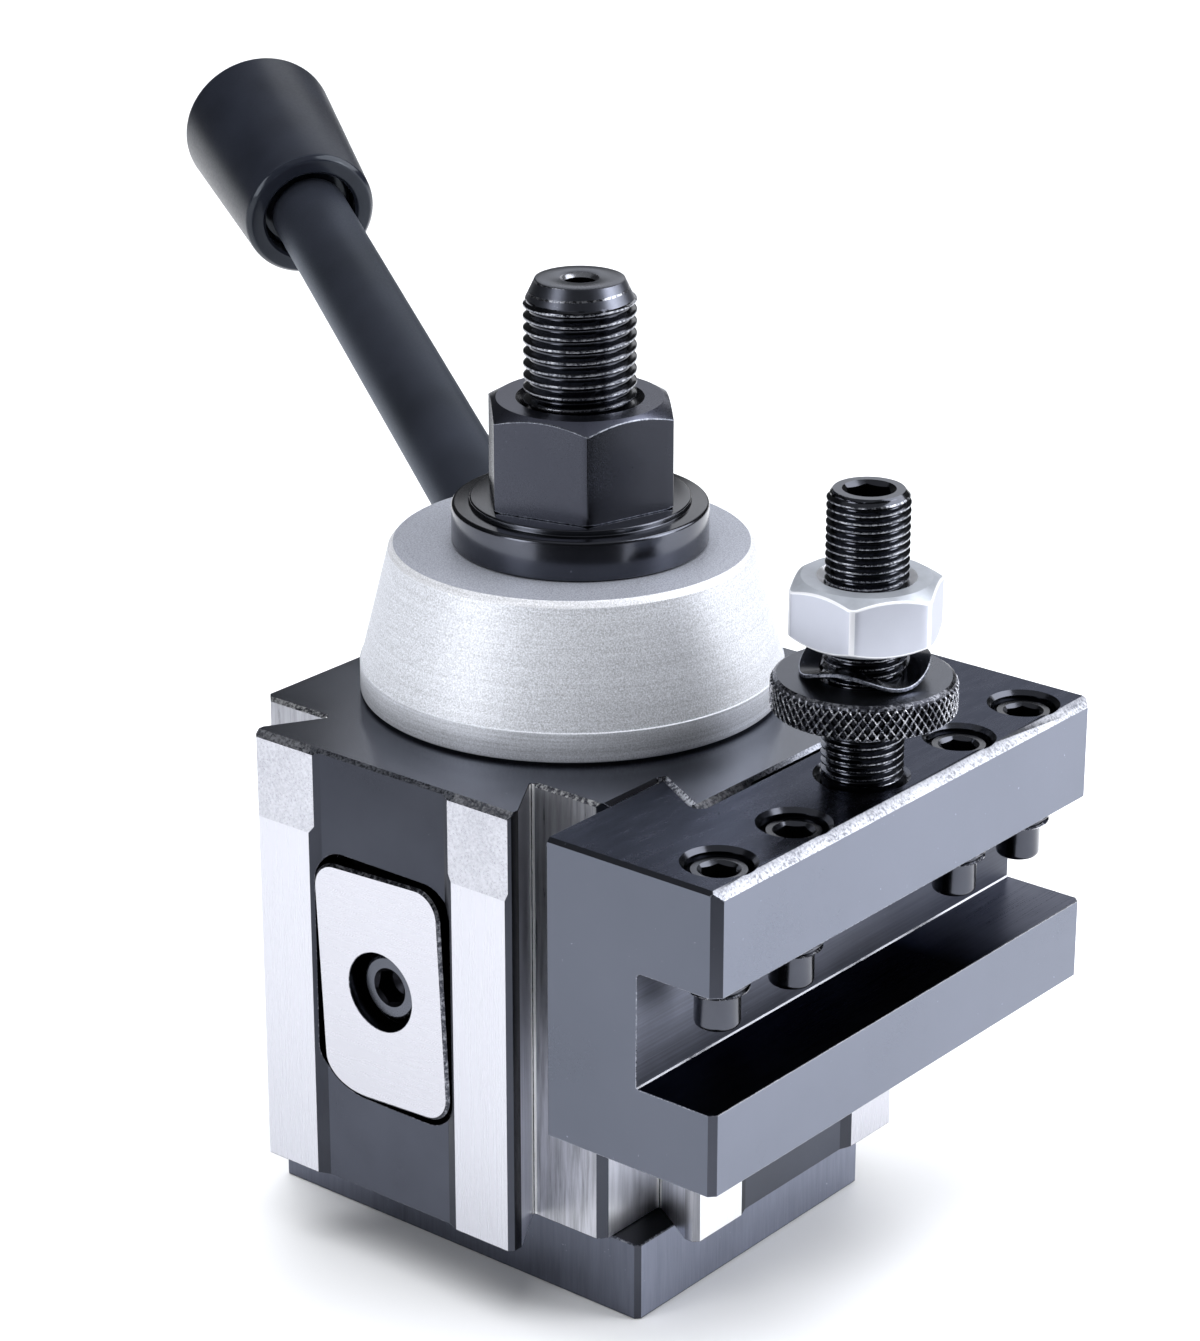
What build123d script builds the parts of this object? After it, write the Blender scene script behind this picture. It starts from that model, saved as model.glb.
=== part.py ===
from build123d import *
import math
import os

os.makedirs("parts", exist_ok=True)

# ---------------------------------------------------------------- dimensions
# All in mm. +Z up, origin on the clamp axis at the underside of the T-nut.

# T-nut blank under the post
TN_X0, TN_X1 = -28.3, 31.5
TN_Y0, TN_Y1 = -25.6, 20.7
TN_T = 10.47
TN_CORNER = 0.8

# post body: square block with two male dovetails, on -Y and on +X
S = 27.45            # half of the square
Z0 = 10.5            # underside of the block
H = 68.7             # top face
DT = 9.23            # how far a dovetail stands out
W1 = 20.0            # outer edge of a ground strip
EDGE_C = 0.6         # 45 degree facet beside a ground strip
LAND_Y = 1.9         # from the dovetail's face to the start of its flank
WX = W1 + EDGE_C     # half width over the dovetail's lands
WR = 16.35           # half width at the dovetail's root, which makes the flanks 60 degrees
W0 = 11.6            # inner edge of a ground strip
CH = 0.64            # depth of the channel between the strips
CHW = 1.6            # width of the channel's slanted wall
COLUMN_C = 1.06      # chamfer on the block's corners
STRIP_TOP_C = 1.1    # chamfer over the top of the dovetails
RELIEF_Z = 58.4      # above this the strips are relieved
RELIEF = 0.28
FLOOR_T = 6.5        # thickness of the block's floor under the cam bore
BORE_R = 17.45       # cam bore
STUD_HOLE_R = 8.2
GROOVE_R, GROOVE_Z0, GROOVE_Z1 = 18.7, 66.2, 67.5

# pistons
ZP = 39.5            # height of both piston axes
PAD_W, PAD_H, PAD_C = 20.5, 30.7, 3.6        # pad: width, height, corner radius
PAD_TILT = 2.8       # degrees that the pad stands turned in its pocket
POCKET_W, POCKET_H, POCKET_C = 22.0, 32.3, 4.4
PAD_FACE = 36.95     # distance of the pad's face from the axis
PAD_BACK = 34.0
POCKET_FLOOR = 32.9
BOSS_R, BOSS_BORE_R = 8.0, 8.05
BOSS_END = 27.0
HEAD_R, HEAD_BORE_R = 10.0, 10.05
HEAD_IN, HEAD_OUT = 16.35, 19.35
SHOULDER = 24.5
NECK_R = 6.0
STROKE = 1.0

# cam sleeve
SL_RI, SL_RO = 10.55, 17.40
SL_Z0, SL_Z1 = 17.05, 66.0
SL_NECK_R, SL_TOP = 15.5, 70.55
CAM_R = 16.2
CAM_TURN = 60.0      # degrees of lever travel
CAM_Z0, CAM_Z1 = ZP - 10.6, ZP + 10.6

# centre bushing
BU_RI, BU_RO = 8.2, 10.5
WASHER_Z0 = 88.34

# clamp head
HD_Z0, HD_BAND, HD_TOP = 69.5, 72.6, 88.24
HD_R0, HD_R1, HD_RT = 26.73, 26.6, 22.6

# centre stud, washer, nut
SX, SY = 0.83, 0.65
STUD_R, STUD_TOP, STUD_PITCH = 7.0, 121.87, 1.5
WA_R, WA_Z1, WA_BOSS_R, WA_BOSS_Z = 16.06, 93.36, 13.8, 94.1
NUT_AF, NUT_Z1, NUT_ANG = 22.0, 106.8, 13.7

# handle
HA_PHI, HA_EL, HA_Z = 149.5, 14.5, 71.85
ROD_R = 5.7
KN_T0, KN_T1, KN_R0, KN_R1 = 118.0, 148.0, 9.85, 11.2

# tool holder
TH_X0, TH_X1, TH_XL = 28.0, 53.0, 52.7
TH_HY = 38.5
TH_Z0, TH_Z1 = 30.0, 68.55
TH_FLOOR_X = 37.0
SLOT_X, SLOT_Z0, SLOT_Z1 = 41.4, 40.55, 55.3
TOP_C, END_C = 1.15, 1.1
SC_X, SC_Y = 47.45, (31.15, 16.9)
SC_TOP, SC_THREAD_END, SC_DOG_END = 67.6, 54.3, 48.1

# height stud stack
HX, HY = 45.1, -0.2
HS_R, HS_TOP, HS_BOT, HS_PITCH = 5.0, 104.6, 56.5, 1.0
KN_R, KNZ0, KNZ1 = 11.2, 77.0, 81.5
WW_RI, WW_RO, WW_T, WW_Z, WW_AMP = 5.3, 7.8, 0.5, 82.85, 0.95
LN_AF, LN_Z0, LN_Z1, LN_ANG = 17.0, 86.4, 93.8, 55.6


# ------------------------------------------------------------------- helpers
def poly(points, z=0.0):
    return Face(Wire.make_polygon([Vector(x, y, z) for x, y in points], close=True))


def turned(points):
    face = Face(Wire.make_polygon([Vector(r, 0, z) for r, z in points], close=True))
    return revolve(face, Axis.Z, 360)


def prism(points, z0, z1):
    return extrude(poly(points, z0), amount=z1 - z0, dir=(0, 0, 1))


def rod_z(r, z0, z1, x=0.0, y=0.0):
    return Pos(x, y, z0) * Cylinder(r, z1 - z0, align=(Align.CENTER, Align.CENTER, Align.MIN))


def rod_out(r, y0, y1, z=ZP):
    # a cylinder on the -Y side, from distance y0 to distance y1 from the axis
    return Plane(origin=(0, -y0, z), z_dir=(0, -1, 0)) * Cylinder(
        r, y1 - y0, align=(Align.CENTER, Align.CENTER, Align.MIN))


def hexagon(af, angle=0.0):
    rc = af / 2 / math.cos(math.radians(30))
    return [(rc * math.cos(math.radians(angle + 60 * k)), rc * math.sin(math.radians(angle + 60 * k)))
            for k in range(6)]


def threaded_profile(r, z0, z1, pitch, depth, land):
    # outline of a threaded length, drawn as ring grooves with a flat crest
    pts = []
    n = int((z1 - z0) / pitch)
    for i in range(n):
        a = z0 + i * pitch
        pts += [(r, a), (r, a + land), (r - depth, a + (land + pitch) / 2)]
    pts.append((r, z0 + n * pitch))
    if z1 - (z0 + n * pitch) > 1e-6:
        pts.append((r, z1))
    return pts


def hex_socket(af, x, y, z_top, depth, angle=0.0):
    pts = [(x + a, y + b) for a, b in hexagon(af, angle)]
    return prism(pts, z_top - depth, z_top + 1)


def chamfered_nut(af, z0, z1, bore_r, angle, x, y, face_r, low_r, csink):
    # face_r and low_r: radius at which the top and the bottom corner chamfers start
    rc = af / 2 / math.cos(math.radians(30))
    slant = math.tan(math.radians(30))
    body = prism(hexagon(af, angle), z0, z1)
    envelope = turned([(0, z0), (low_r, z0), (rc + 0.2, z0 + (rc + 0.2 - low_r) * slant),
                       (rc + 0.2, z1 - (rc + 0.2 - face_r) * slant), (face_r, z1), (0, z1)])
    nut = body & envelope
    nut -= turned([(0, z0 - 1), (bore_r + csink + 1, z0 - 1), (bore_r, z0 + csink), (bore_r, z1 - csink),
                   (bore_r + csink + 1, z1 + 1), (0, z1 + 1)])
    return Pos(x, y, 0) * nut


def to_side(part):
    # carries a part made for the -Y side round to the +X side
    return Rot(0, 0, 90) * part


nodes = {}

# ----------------------------------------------------------------- post body
c = COLUMN_C
F = S + DT
FE, FL = F - EDGE_C, F - LAND_Y
outline = [(-S, S - c), (-S, -S + c), (-S + c, -S), (-WR, -S), (-WX, -FL), (-WX, -FE), (-W1, -F), (-W0, -F),
           (-(W0 - CHW), -(F - CH)), (W0 - CHW, -(F - CH)), (W0, -F), (W1, -F), (WX, -FE), (WX, -FL), (WR, -S),
           (S - c, -S), (S, -S + c), (S, -WR), (FL, -WX), (FE, -WX), (F, -W1), (F, -W0), (F - CH, -(W0 - CHW)),
           (F - CH, W0 - CHW), (F, W0), (F, W1), (FE, WX), (FL, WX), (S, WR), (S, S - c), (S - c, S), (-S + c, S)]
body = prism(outline, Z0, H)
# light chamfer round the underside
body = chamfer(body.edges().filter_by_position(Axis.Z, Z0 - 0.01, Z0 + 0.01), 0.4)


def dovetail_trim():
    top = Plane(origin=(-25, 0, 0), x_dir=(0, 1, 0), z_dir=(1, 0, 0))
    wedge = top * extrude(poly([(-F - 1, H - STRIP_TOP_C - 1), (-F + STRIP_TOP_C + 1, H + 1), (-F - 1, H + 1)]),
                          amount=50, dir=(0, 0, 1))
    ramp = top * extrude(poly([(-F - 1, RELIEF_Z - 0.9), (-F, RELIEF_Z - 0.9), (-F + RELIEF, RELIEF_Z),
                               (-F + RELIEF, H + 1), (-F - 1, H + 1)]), amount=50, dir=(0, 0, 1))
    return wedge + ramp


body -= dovetail_trim()
body -= to_side(dovetail_trim())
# cam bore, stud hole, ring groove
body -= rod_z(BORE_R, Z0 + FLOOR_T, H + 1)
body -= rod_z(STUD_HOLE_R, Z0 - 1, Z0 + FLOOR_T + 1)
body -= turned([(0, GROOVE_Z0), (GROOVE_R, GROOVE_Z0), (GROOVE_R, GROOVE_Z1), (0, GROOVE_Z1)])


def plate(w, h, corner, tilt, y0, y1):
    # a rounded rectangle round the piston axis, from distance y0 to distance y1 from the clamp axis
    face = Plane(origin=(0, -y0, ZP), x_dir=(math.cos(math.radians(tilt)), 0, math.sin(math.radians(tilt))),
                 z_dir=(0, -1, 0)) * RectangleRounded(w, h, corner)
    return extrude(face, amount=y1 - y0, dir=(0, -1, 0))


def side_openings():
    cut = rod_out(BOSS_BORE_R, 10, 35)
    cut += rod_out(HEAD_BORE_R, 10, SHOULDER)
    cut += plate(POCKET_W, POCKET_H, POCKET_C, 0.0, POCKET_FLOOR, 40)
    return cut


body -= side_openings()
body -= to_side(side_openings())
nodes["post_body"] = body

# --------------------------------------------------------------------- T-nut
k = TN_CORNER
tnut = prism([(TN_X0 + k, TN_Y0), (TN_X1 - k, TN_Y0), (TN_X1, TN_Y0 + k), (TN_X1, TN_Y1 - k), (TN_X1 - k, TN_Y1),
              (TN_X0 + k, TN_Y1), (TN_X0, TN_Y1 - k), (TN_X0, TN_Y0 + k)], 0, TN_T)
tnut = chamfer(tnut.edges().filter_by_position(Axis.Z, -0.01, 0.01)
               + tnut.edges().filter_by_position(Axis.Z, TN_T - 0.01, TN_T + 0.01), 0.3)
tnut -= rod_z(STUD_R, 2.2, TN_T + 1, SX, SY)
nodes["t_nut"] = tnut

# --------------------------------------------------------------- centre stud
stud = turned([(0, 2.4), (STUD_R - 0.8, 2.4), (STUD_R, 3.2), (STUD_R, 89.0)]
              + threaded_profile(STUD_R, 89.2, 119.3, STUD_PITCH, 0.8, 0.35)
              + [(STUD_R - 0.25, 119.5), (STUD_R - 1.5, STUD_TOP), (2.25, STUD_TOP), (1.9, STUD_TOP - 0.5),
                 (1.9, STUD_TOP - 7), (0, STUD_TOP - 8)])
nodes["centre_stud"] = Pos(SX, SY, 0) * stud

# --------------------------------------------------------------- cam bushing
nodes["centre_bushing"] = turned([(BU_RI, Z0 + FLOOR_T), (BU_RO, Z0 + FLOOR_T), (BU_RO, WASHER_Z0 - 0.4),
                                  (BU_RO - 0.4, WASHER_Z0), (BU_RI, WASHER_Z0)])

# ---------------------------------------------------------------- cam sleeve
sleeve = turned([(SL_RI, SL_Z0), (SL_RO - 0.4, SL_Z0), (SL_RO, SL_Z0 + 0.4), (SL_RO, SL_Z1), (SL_NECK_R, SL_Z1),
                 (SL_NECK_R, SL_TOP), (SL_RI, SL_TOP)])
# spiral cam faces, one under each piston: the radius falls evenly with lever angle
low = CAM_R - STROKE * 68.0 / CAM_TURN


def cam_radius(phi):
    # phi in degrees, sleeve at rest; each face is highest just past its piston
    for top in (-90.0, 0.0):
        d = (top + 4.0 - phi) % 360.0
        if d <= 68.0:
            return CAM_R + STROKE * 4.0 / CAM_TURN * 0 - STROKE * max(0.0, d - 4.0) / CAM_TURN
    return None


cam_pts = []
for i in range(0, 360, 4):
    r = cam_radius(float(i))
    if r is None:
        # blends between the two faces and round the idle side
        a = float(i)
        if 272.0 < a < 300.0:
            u = (a - 274.0) / 22.0
            u = min(max(u, 0.0), 1.0)
            r = CAM_R + (low - CAM_R) * (3 * u * u - 2 * u ** 3)
        else:
            u = (a - 4.0) / (202.0 - 4.0)
            u = min(max(u, 0.0), 1.0)
            r = CAM_R + (low - CAM_R) * (3 * u * u - 2 * u ** 3)
    cam_pts.append((r * math.cos(math.radians(i)), r * math.sin(math.radians(i))))
cam_core = extrude(Face(Wire([Edge.make_spline([Vector(x, y, CAM_Z0) for x, y in cam_pts], periodic=True)])),
                   amount=CAM_Z1 - CAM_Z0, dir=(0, 0, 1))
sleeve -= (rod_z(SL_RO + 1, CAM_Z0, CAM_Z1) - cam_core)
pin_spots = [(13.0 * math.cos(math.radians(a)), 13.0 * math.sin(math.radians(a))) for a in (89.5, 209.5, 329.5)]
for x, y in pin_spots:
    sleeve -= rod_z(1.5, 62.0, SL_TOP + 1, x, y)
nodes["cam_sleeve"] = sleeve

pins = [rod_z(1.5, 62.2, 75.8, x, y) for x, y in pin_spots]
nodes["head_pins"] = Compound(children=pins)

# ------------------------------------------------------------ retaining ring
ring = turned([(SL_NECK_R + 0.5, GROOVE_Z0 + 0.05), (GROOVE_R - 0.1, GROOVE_Z0 + 0.05),
               (GROOVE_R - 0.1, GROOVE_Z1 - 0.05), (SL_NECK_R + 0.5, GROOVE_Z1 - 0.05)])
ring -= Pos(-17, 0, (GROOVE_Z0 + GROOVE_Z1) / 2) * Box(6, 5, 4)
nodes["retaining_ring"] = ring

# ---------------------------------------------------------------- clamp head
head = turned([(10.56, HD_Z0), (HD_R0 - 0.4, HD_Z0), (HD_R0, HD_Z0 + 0.4), (HD_R0, HD_BAND - 0.1), (HD_R1, HD_BAND),
               (HD_RT + 0.35, HD_TOP - 0.75), (HD_RT - 0.25, HD_TOP), (10.56, HD_TOP)])
head -= rod_z(SL_NECK_R, HD_Z0 - 1, SL_TOP + 0.05)
for x, y in pin_spots:
    head -= rod_z(1.5, HD_Z0 - 1, 76.0, x, y)

ax = Vector(math.cos(math.radians(HA_PHI)) * math.cos(math.radians(HA_EL)),
            math.sin(math.radians(HA_PHI)) * math.cos(math.radians(HA_EL)), math.sin(math.radians(HA_EL)))
handle_plane = Plane(origin=(0, 0, HA_Z), z_dir=ax)
head -= handle_plane * turned([(0, 13.0), (5.0, 13.0), (5.0, 20.0), (ROD_R, 20.0), (ROD_R, 40), (0, 40)])
nodes["clamp_head"] = head

# -------------------------------------------------------------------- handle
nodes["handle_rod"] = handle_plane * turned(
    [(0, 13.4), (4.4, 13.4), (5.0, 14.0), (5.0, 20.0), (ROD_R, 20.0), (ROD_R, 119.2), (ROD_R - 0.7, 119.9), (4.0, 119.9),
     (4.0, 131.2), (3.4, 131.8), (0, 131.8)])
knob_pts = [(7.0, KN_T0 + 0.2), (7.3, KN_T0)]
for i in range(5):
    t = i / 4 * math.pi / 2
    knob_pts.append((KN_R0 - 0.9 + 0.9 * math.sin(t), KN_T0 + 0.9 - 0.9 * math.cos(t)))
for i in range(7):
    t = i / 6 * math.pi / 2
    knob_pts.append((KN_R1 - 2.0 + 2.0 * math.cos(t), KN_T1 - 0.8 - 2.0 + 2.0 * math.sin(t)))
knob_pts += [(KN_R1 - 5.5, KN_T1 - 0.25), (0, KN_T1), (0, 132.0), (4.0, 132.0), (4.0, 121.8), (6.9, 121.8)]
nodes["handle_knob"] = handle_plane * turned(knob_pts)

# -------------------------------------------------------------- stud washer
nodes["stud_washer"] = Pos(SX, SY, 0) * turned(
    [(7.4, WASHER_Z0), (WA_R - 0.35, WASHER_Z0), (WA_R, WASHER_Z0 + 0.35), (WA_R, WA_Z1 - 0.4), (WA_R - 0.4, WA_Z1),
     (WA_BOSS_R, WA_Z1), (WA_BOSS_R, WA_BOSS_Z - 0.15), (WA_BOSS_R - 0.15, WA_BOSS_Z), (7.4, WA_BOSS_Z)])

nodes["stud_nut"] = chamfered_nut(NUT_AF, WA_BOSS_Z + 0.03, NUT_Z1, 7.06, NUT_ANG, SX, SY, 10.4, 12.35, 0.9)


# ------------------------------------------------------------------- pistons
def piston():
    p = rod_out(HEAD_R, HEAD_IN, HEAD_OUT) + rod_out(NECK_R, HEAD_OUT, BOSS_END)
    return p - rod_out(2.5, 21.0, BOSS_END + 1)


def pad():
    p = plate(PAD_W, PAD_H, PAD_C, PAD_TILT, PAD_BACK, PAD_FACE)
    p = chamfer(p.edges().filter_by_position(Axis.Y, -PAD_FACE - 0.01, -PAD_FACE + 0.01), 0.5)
    p += rod_out(BOSS_R, BOSS_END, PAD_BACK)
    p -= rod_out(5.15, 30.2, PAD_FACE + 1)
    p -= rod_out(2.6, BOSS_END - 1, 31)
    return p


def pad_screw():
    p = rod_out(2.5, 21.4, 30.2) + rod_out(4.25, 30.2, 35.2)
    rim = p.edges().filter_by_position(Axis.Y, -35.21, -35.19)
    p = chamfer(rim, 0.35)
    sock = Plane(origin=(0, -32.6, ZP), x_dir=(1, 0, 0), z_dir=(0, -1, 0)) * extrude(
        poly(hexagon(4.0, 18.0)), amount=6, dir=(0, 0, 1))
    return p - sock


def spring():
    pitch, turns, wire, mean = 1.52, 2.55, 0.48, 9.0
    h = pitch * turns
    y_in = HEAD_OUT + 0.62
    path = Edge.make_helix(pitch, h, mean)
    start = path @ 0
    section = Plane(origin=start, z_dir=path % 0) * Circle(wire)
    coil = sweep(section, path=path)
    return Plane(origin=(0, -y_in, ZP), z_dir=(0, -1, 0)) * coil


for name, place in (("front", lambda q: q), ("side", to_side)):
    nodes[name + "_piston"] = place(piston())
    nodes[name + "_pad"] = place(pad())
    nodes[name + "_pad_screw"] = place(pad_screw())
    nodes[name + "_spring"] = place(spring())

# --------------------------------------------------------------- tool holder
hold = prism([(TH_X0, -TH_HY), (TH_X1 - END_C, -TH_HY), (TH_X1, -TH_HY + END_C), (TH_X1, TH_HY - END_C),
              (TH_X1 - END_C, TH_HY), (TH_X0, TH_HY)], TH_Z0, TH_Z1)
across = Plane(origin=(0, -TH_HY - 5, 0), x_dir=(1, 0, 0), z_dir=(0, -1, 0))


def along_y(points):
    # (x, z) outline carried along the holder's whole length
    face = Face(Wire.make_polygon([Vector(x, -TH_HY - 5, z) for x, z in points], close=True))
    return extrude(face, amount=2 * TH_HY + 10, dir=(0, 1, 0))


hold -= along_y([(SLOT_X, SLOT_Z0), (TH_X1 + 5, SLOT_Z0), (TH_X1 + 5, SLOT_Z1), (SLOT_X, SLOT_Z1)])
hold -= along_y([(TH_XL, TH_Z0 - 1), (TH_X1 + 5, TH_Z0 - 1), (TH_X1 + 5, SLOT_Z0 + 1), (TH_XL, SLOT_Z0 + 1)])
hold -= along_y([(TH_X1 - TOP_C, TH_Z1), (TH_X1, TH_Z1 - TOP_C), (TH_X1 + 1, TH_Z1 - TOP_C), (TH_X1 + 1, TH_Z1 + 1),
                 (TH_X1 - TOP_C, TH_Z1 + 1)])
slope = (WX - WR) / (DT - LAND_Y)
gap = 0.086


def flank(x):
    return WR + slope * (x - S) + gap


# female dovetail, with room round the male one's lands and facets
hold -= prism([(TH_X0 - 1, -flank(TH_X0 - 1)), (FL + 0.07, -flank(FL + 0.07)), (FE + 0.12, -WX - 0.3),
               (TH_FLOOR_X, -W1 - 0.1), (TH_FLOOR_X, W1 + 0.1), (FE + 0.12, WX + 0.3), (FL + 0.07, flank(FL + 0.07)),
               (TH_X0 - 1, flank(TH_X0 - 1))], TH_Z0 - 1, TH_Z1 + 1)
screw_spots = [(SC_X, -SC_Y[0]), (SC_X, -SC_Y[1]), (SC_X, SC_Y[1]), (SC_X, SC_Y[0])]
for x, y in screw_spots:
    hold -= Pos(x, y, 0) * turned([(0, SLOT_Z1 - 1), (5.3, SLOT_Z1 - 1), (4.05, SLOT_Z1 + 0.25), (4.05, TH_Z1 - 0.25),
                                   (5.3, TH_Z1 + 1), (0, TH_Z1 + 1)])
hold -= Pos(HX, HY, 0) * turned([(0, HS_BOT - 0.2), (HS_R, HS_BOT - 0.2), (HS_R, TH_Z1 - 0.9), (HS_R + 1.9, TH_Z1 + 1),
                                 (0, TH_Z1 + 1)])
nodes["tool_holder"] = hold


def tool_screw(x, y, angle):
    s = turned([(0, SC_DOG_END), (2.45, SC_DOG_END), (2.75, SC_DOG_END + 0.3), (2.75, SC_THREAD_END - 1.0),
                (3.1, SC_THREAD_END - 0.6)]
               + threaded_profile(3.98, SC_THREAD_END, SC_TOP - 0.45, 1.25, 0.6, 0.3)
               + [(3.5, SC_TOP), (0, SC_TOP)])
    s = Pos(x, y, 0) * s
    return s - hex_socket(4.0, x, y, SC_TOP, 4.5, angle)


for i, ((x, y), a) in enumerate(zip(screw_spots, (10, 34, 22, 5))):
    nodes["tool_screw_%d" % (i + 1)] = tool_screw(x, y, a)

# --------------------------------------------------------------- height stud
hs = turned([(0, HS_BOT), (HS_R - 0.6, HS_BOT), (HS_R, HS_BOT + 0.6), (HS_R, 68.9)]
            + threaded_profile(HS_R, 69.0, HS_TOP - 0.9, HS_PITCH, 0.5, 0.25)
            + [(HS_R - 0.75, HS_TOP), (0, HS_TOP)])
hs = Pos(HX, HY, 0) * hs
nodes["height_stud"] = hs - hex_socket(5.0, HX, HY, HS_TOP, 5.0, 12)

kn = turned([(5.06, KNZ0), (KN_R - 0.6, KNZ0), (KN_R, KNZ0 + 0.5), (KN_R, KNZ1 - 0.5), (KN_R - 0.8, KNZ1), (5.06, KNZ1)])
nodes["height_nut"] = Pos(HX, HY, 0) * kn

# wave washer: a flat section carried round a ring with three waves, in four quarters
def wave_section(a):
    rm = (WW_RI + WW_RO) / 2
    z = WW_AMP * math.cos(math.radians(3 * (a + 75.7)))
    here = Plane(origin=(rm * math.cos(math.radians(a)), rm * math.sin(math.radians(a)), z),
                 x_dir=(math.cos(math.radians(a)), math.sin(math.radians(a)), 0),
                 z_dir=(-math.sin(math.radians(a)), math.cos(math.radians(a)), 0))
    return here * Rectangle(WW_RO - WW_RI, WW_T)


quarters = [loft([wave_section(q + a) for a in range(0, 91, 10)]) for q in (0, 90, 180, 270)]
nodes["wave_washer"] = Pos(HX, HY, WW_Z) * (quarters[0] + quarters[1] + quarters[2] + quarters[3])

nodes["lock_nut"] = chamfered_nut(LN_AF, LN_Z0, LN_Z1, 5.06, LN_ANG, HX, HY, 7.8, 8.2, 0.9)

# ---------------------------------------------------------------------- save
for name, shape in nodes.items():
    export_step(shape, "parts/%s.step" % name)
    box = shape.bounding_box()
    print("%-16s solids %d  volume %10.1f  x %7.2f %7.2f  y %7.2f %7.2f  z %7.2f %7.2f" % (
        name, len(shape.solids()), shape.volume, box.min.X, box.max.X, box.min.Y, box.max.Y, box.min.Z, box.max.Z))
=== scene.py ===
import bpy
import bmesh
import math
import numpy as np
from mathutils import Vector, Matrix


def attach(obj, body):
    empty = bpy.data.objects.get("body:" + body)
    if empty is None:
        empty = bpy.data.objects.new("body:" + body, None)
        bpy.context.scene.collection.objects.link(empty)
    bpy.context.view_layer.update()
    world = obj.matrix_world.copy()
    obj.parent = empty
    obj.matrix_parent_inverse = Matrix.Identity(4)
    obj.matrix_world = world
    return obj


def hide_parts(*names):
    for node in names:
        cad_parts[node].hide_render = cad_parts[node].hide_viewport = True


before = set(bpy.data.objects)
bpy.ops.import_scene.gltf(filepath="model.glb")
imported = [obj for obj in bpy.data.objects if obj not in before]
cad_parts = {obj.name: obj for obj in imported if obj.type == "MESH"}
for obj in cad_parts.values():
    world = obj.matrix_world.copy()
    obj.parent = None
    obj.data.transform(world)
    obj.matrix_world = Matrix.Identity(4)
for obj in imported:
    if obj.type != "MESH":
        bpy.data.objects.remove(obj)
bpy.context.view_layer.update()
MM = 0.001

# ============================================================ dimensions (mm)
S, Z0, H, DT = 27.45, 10.5, 68.7, 9.23
F = S + DT
W1, EDGE_C, LAND_Y, WR, W0, CH, CHW = 20.0, 0.6, 1.9, 16.35, 11.6, 0.64, 1.6
WX, FE, FL = W1 + EDGE_C, F - EDGE_C, F - LAND_Y
COLUMN_C, STRIP_TOP_C, RELIEF_Z, RELIEF = 1.06, 1.1, 58.4, 0.28
BORE_R, FLOOR_T, STUD_HOLE_R = 17.45, 6.5, 8.2
ZP, PAD_W, PAD_H, PAD_C, PAD_TILT = 39.5, 20.5, 30.7, 3.6, 2.8
POCKET_W, POCKET_H, POCKET_C = 22.0, 32.3, 4.4
LOW_RU, LOW_RV = 6.8, 4.6
PAD_FACE, PAD_BACK, POCKET_FLOOR = 36.95, 34.0, 32.9
SX, SY = 0.83, 0.65
HX, HY = 45.1, -0.2
TH_X0, TH_X1, TH_XL, TH_HY, TH_Z0, TH_Z1, TH_FLOOR_X = 28.0, 53.0, 52.7, 38.5, 30.0, 68.55, 37.0
SLOT_X, SLOT_Z0, SLOT_Z1, TOP_C, END_C = 41.4, 40.55, 55.3, 1.15, 1.1
SC_X, SC_Y = 47.45, (31.15, 16.9)
HA_PHI, HA_EL, HA_Z = math.radians(149.5), math.radians(14.5), 71.85


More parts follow.
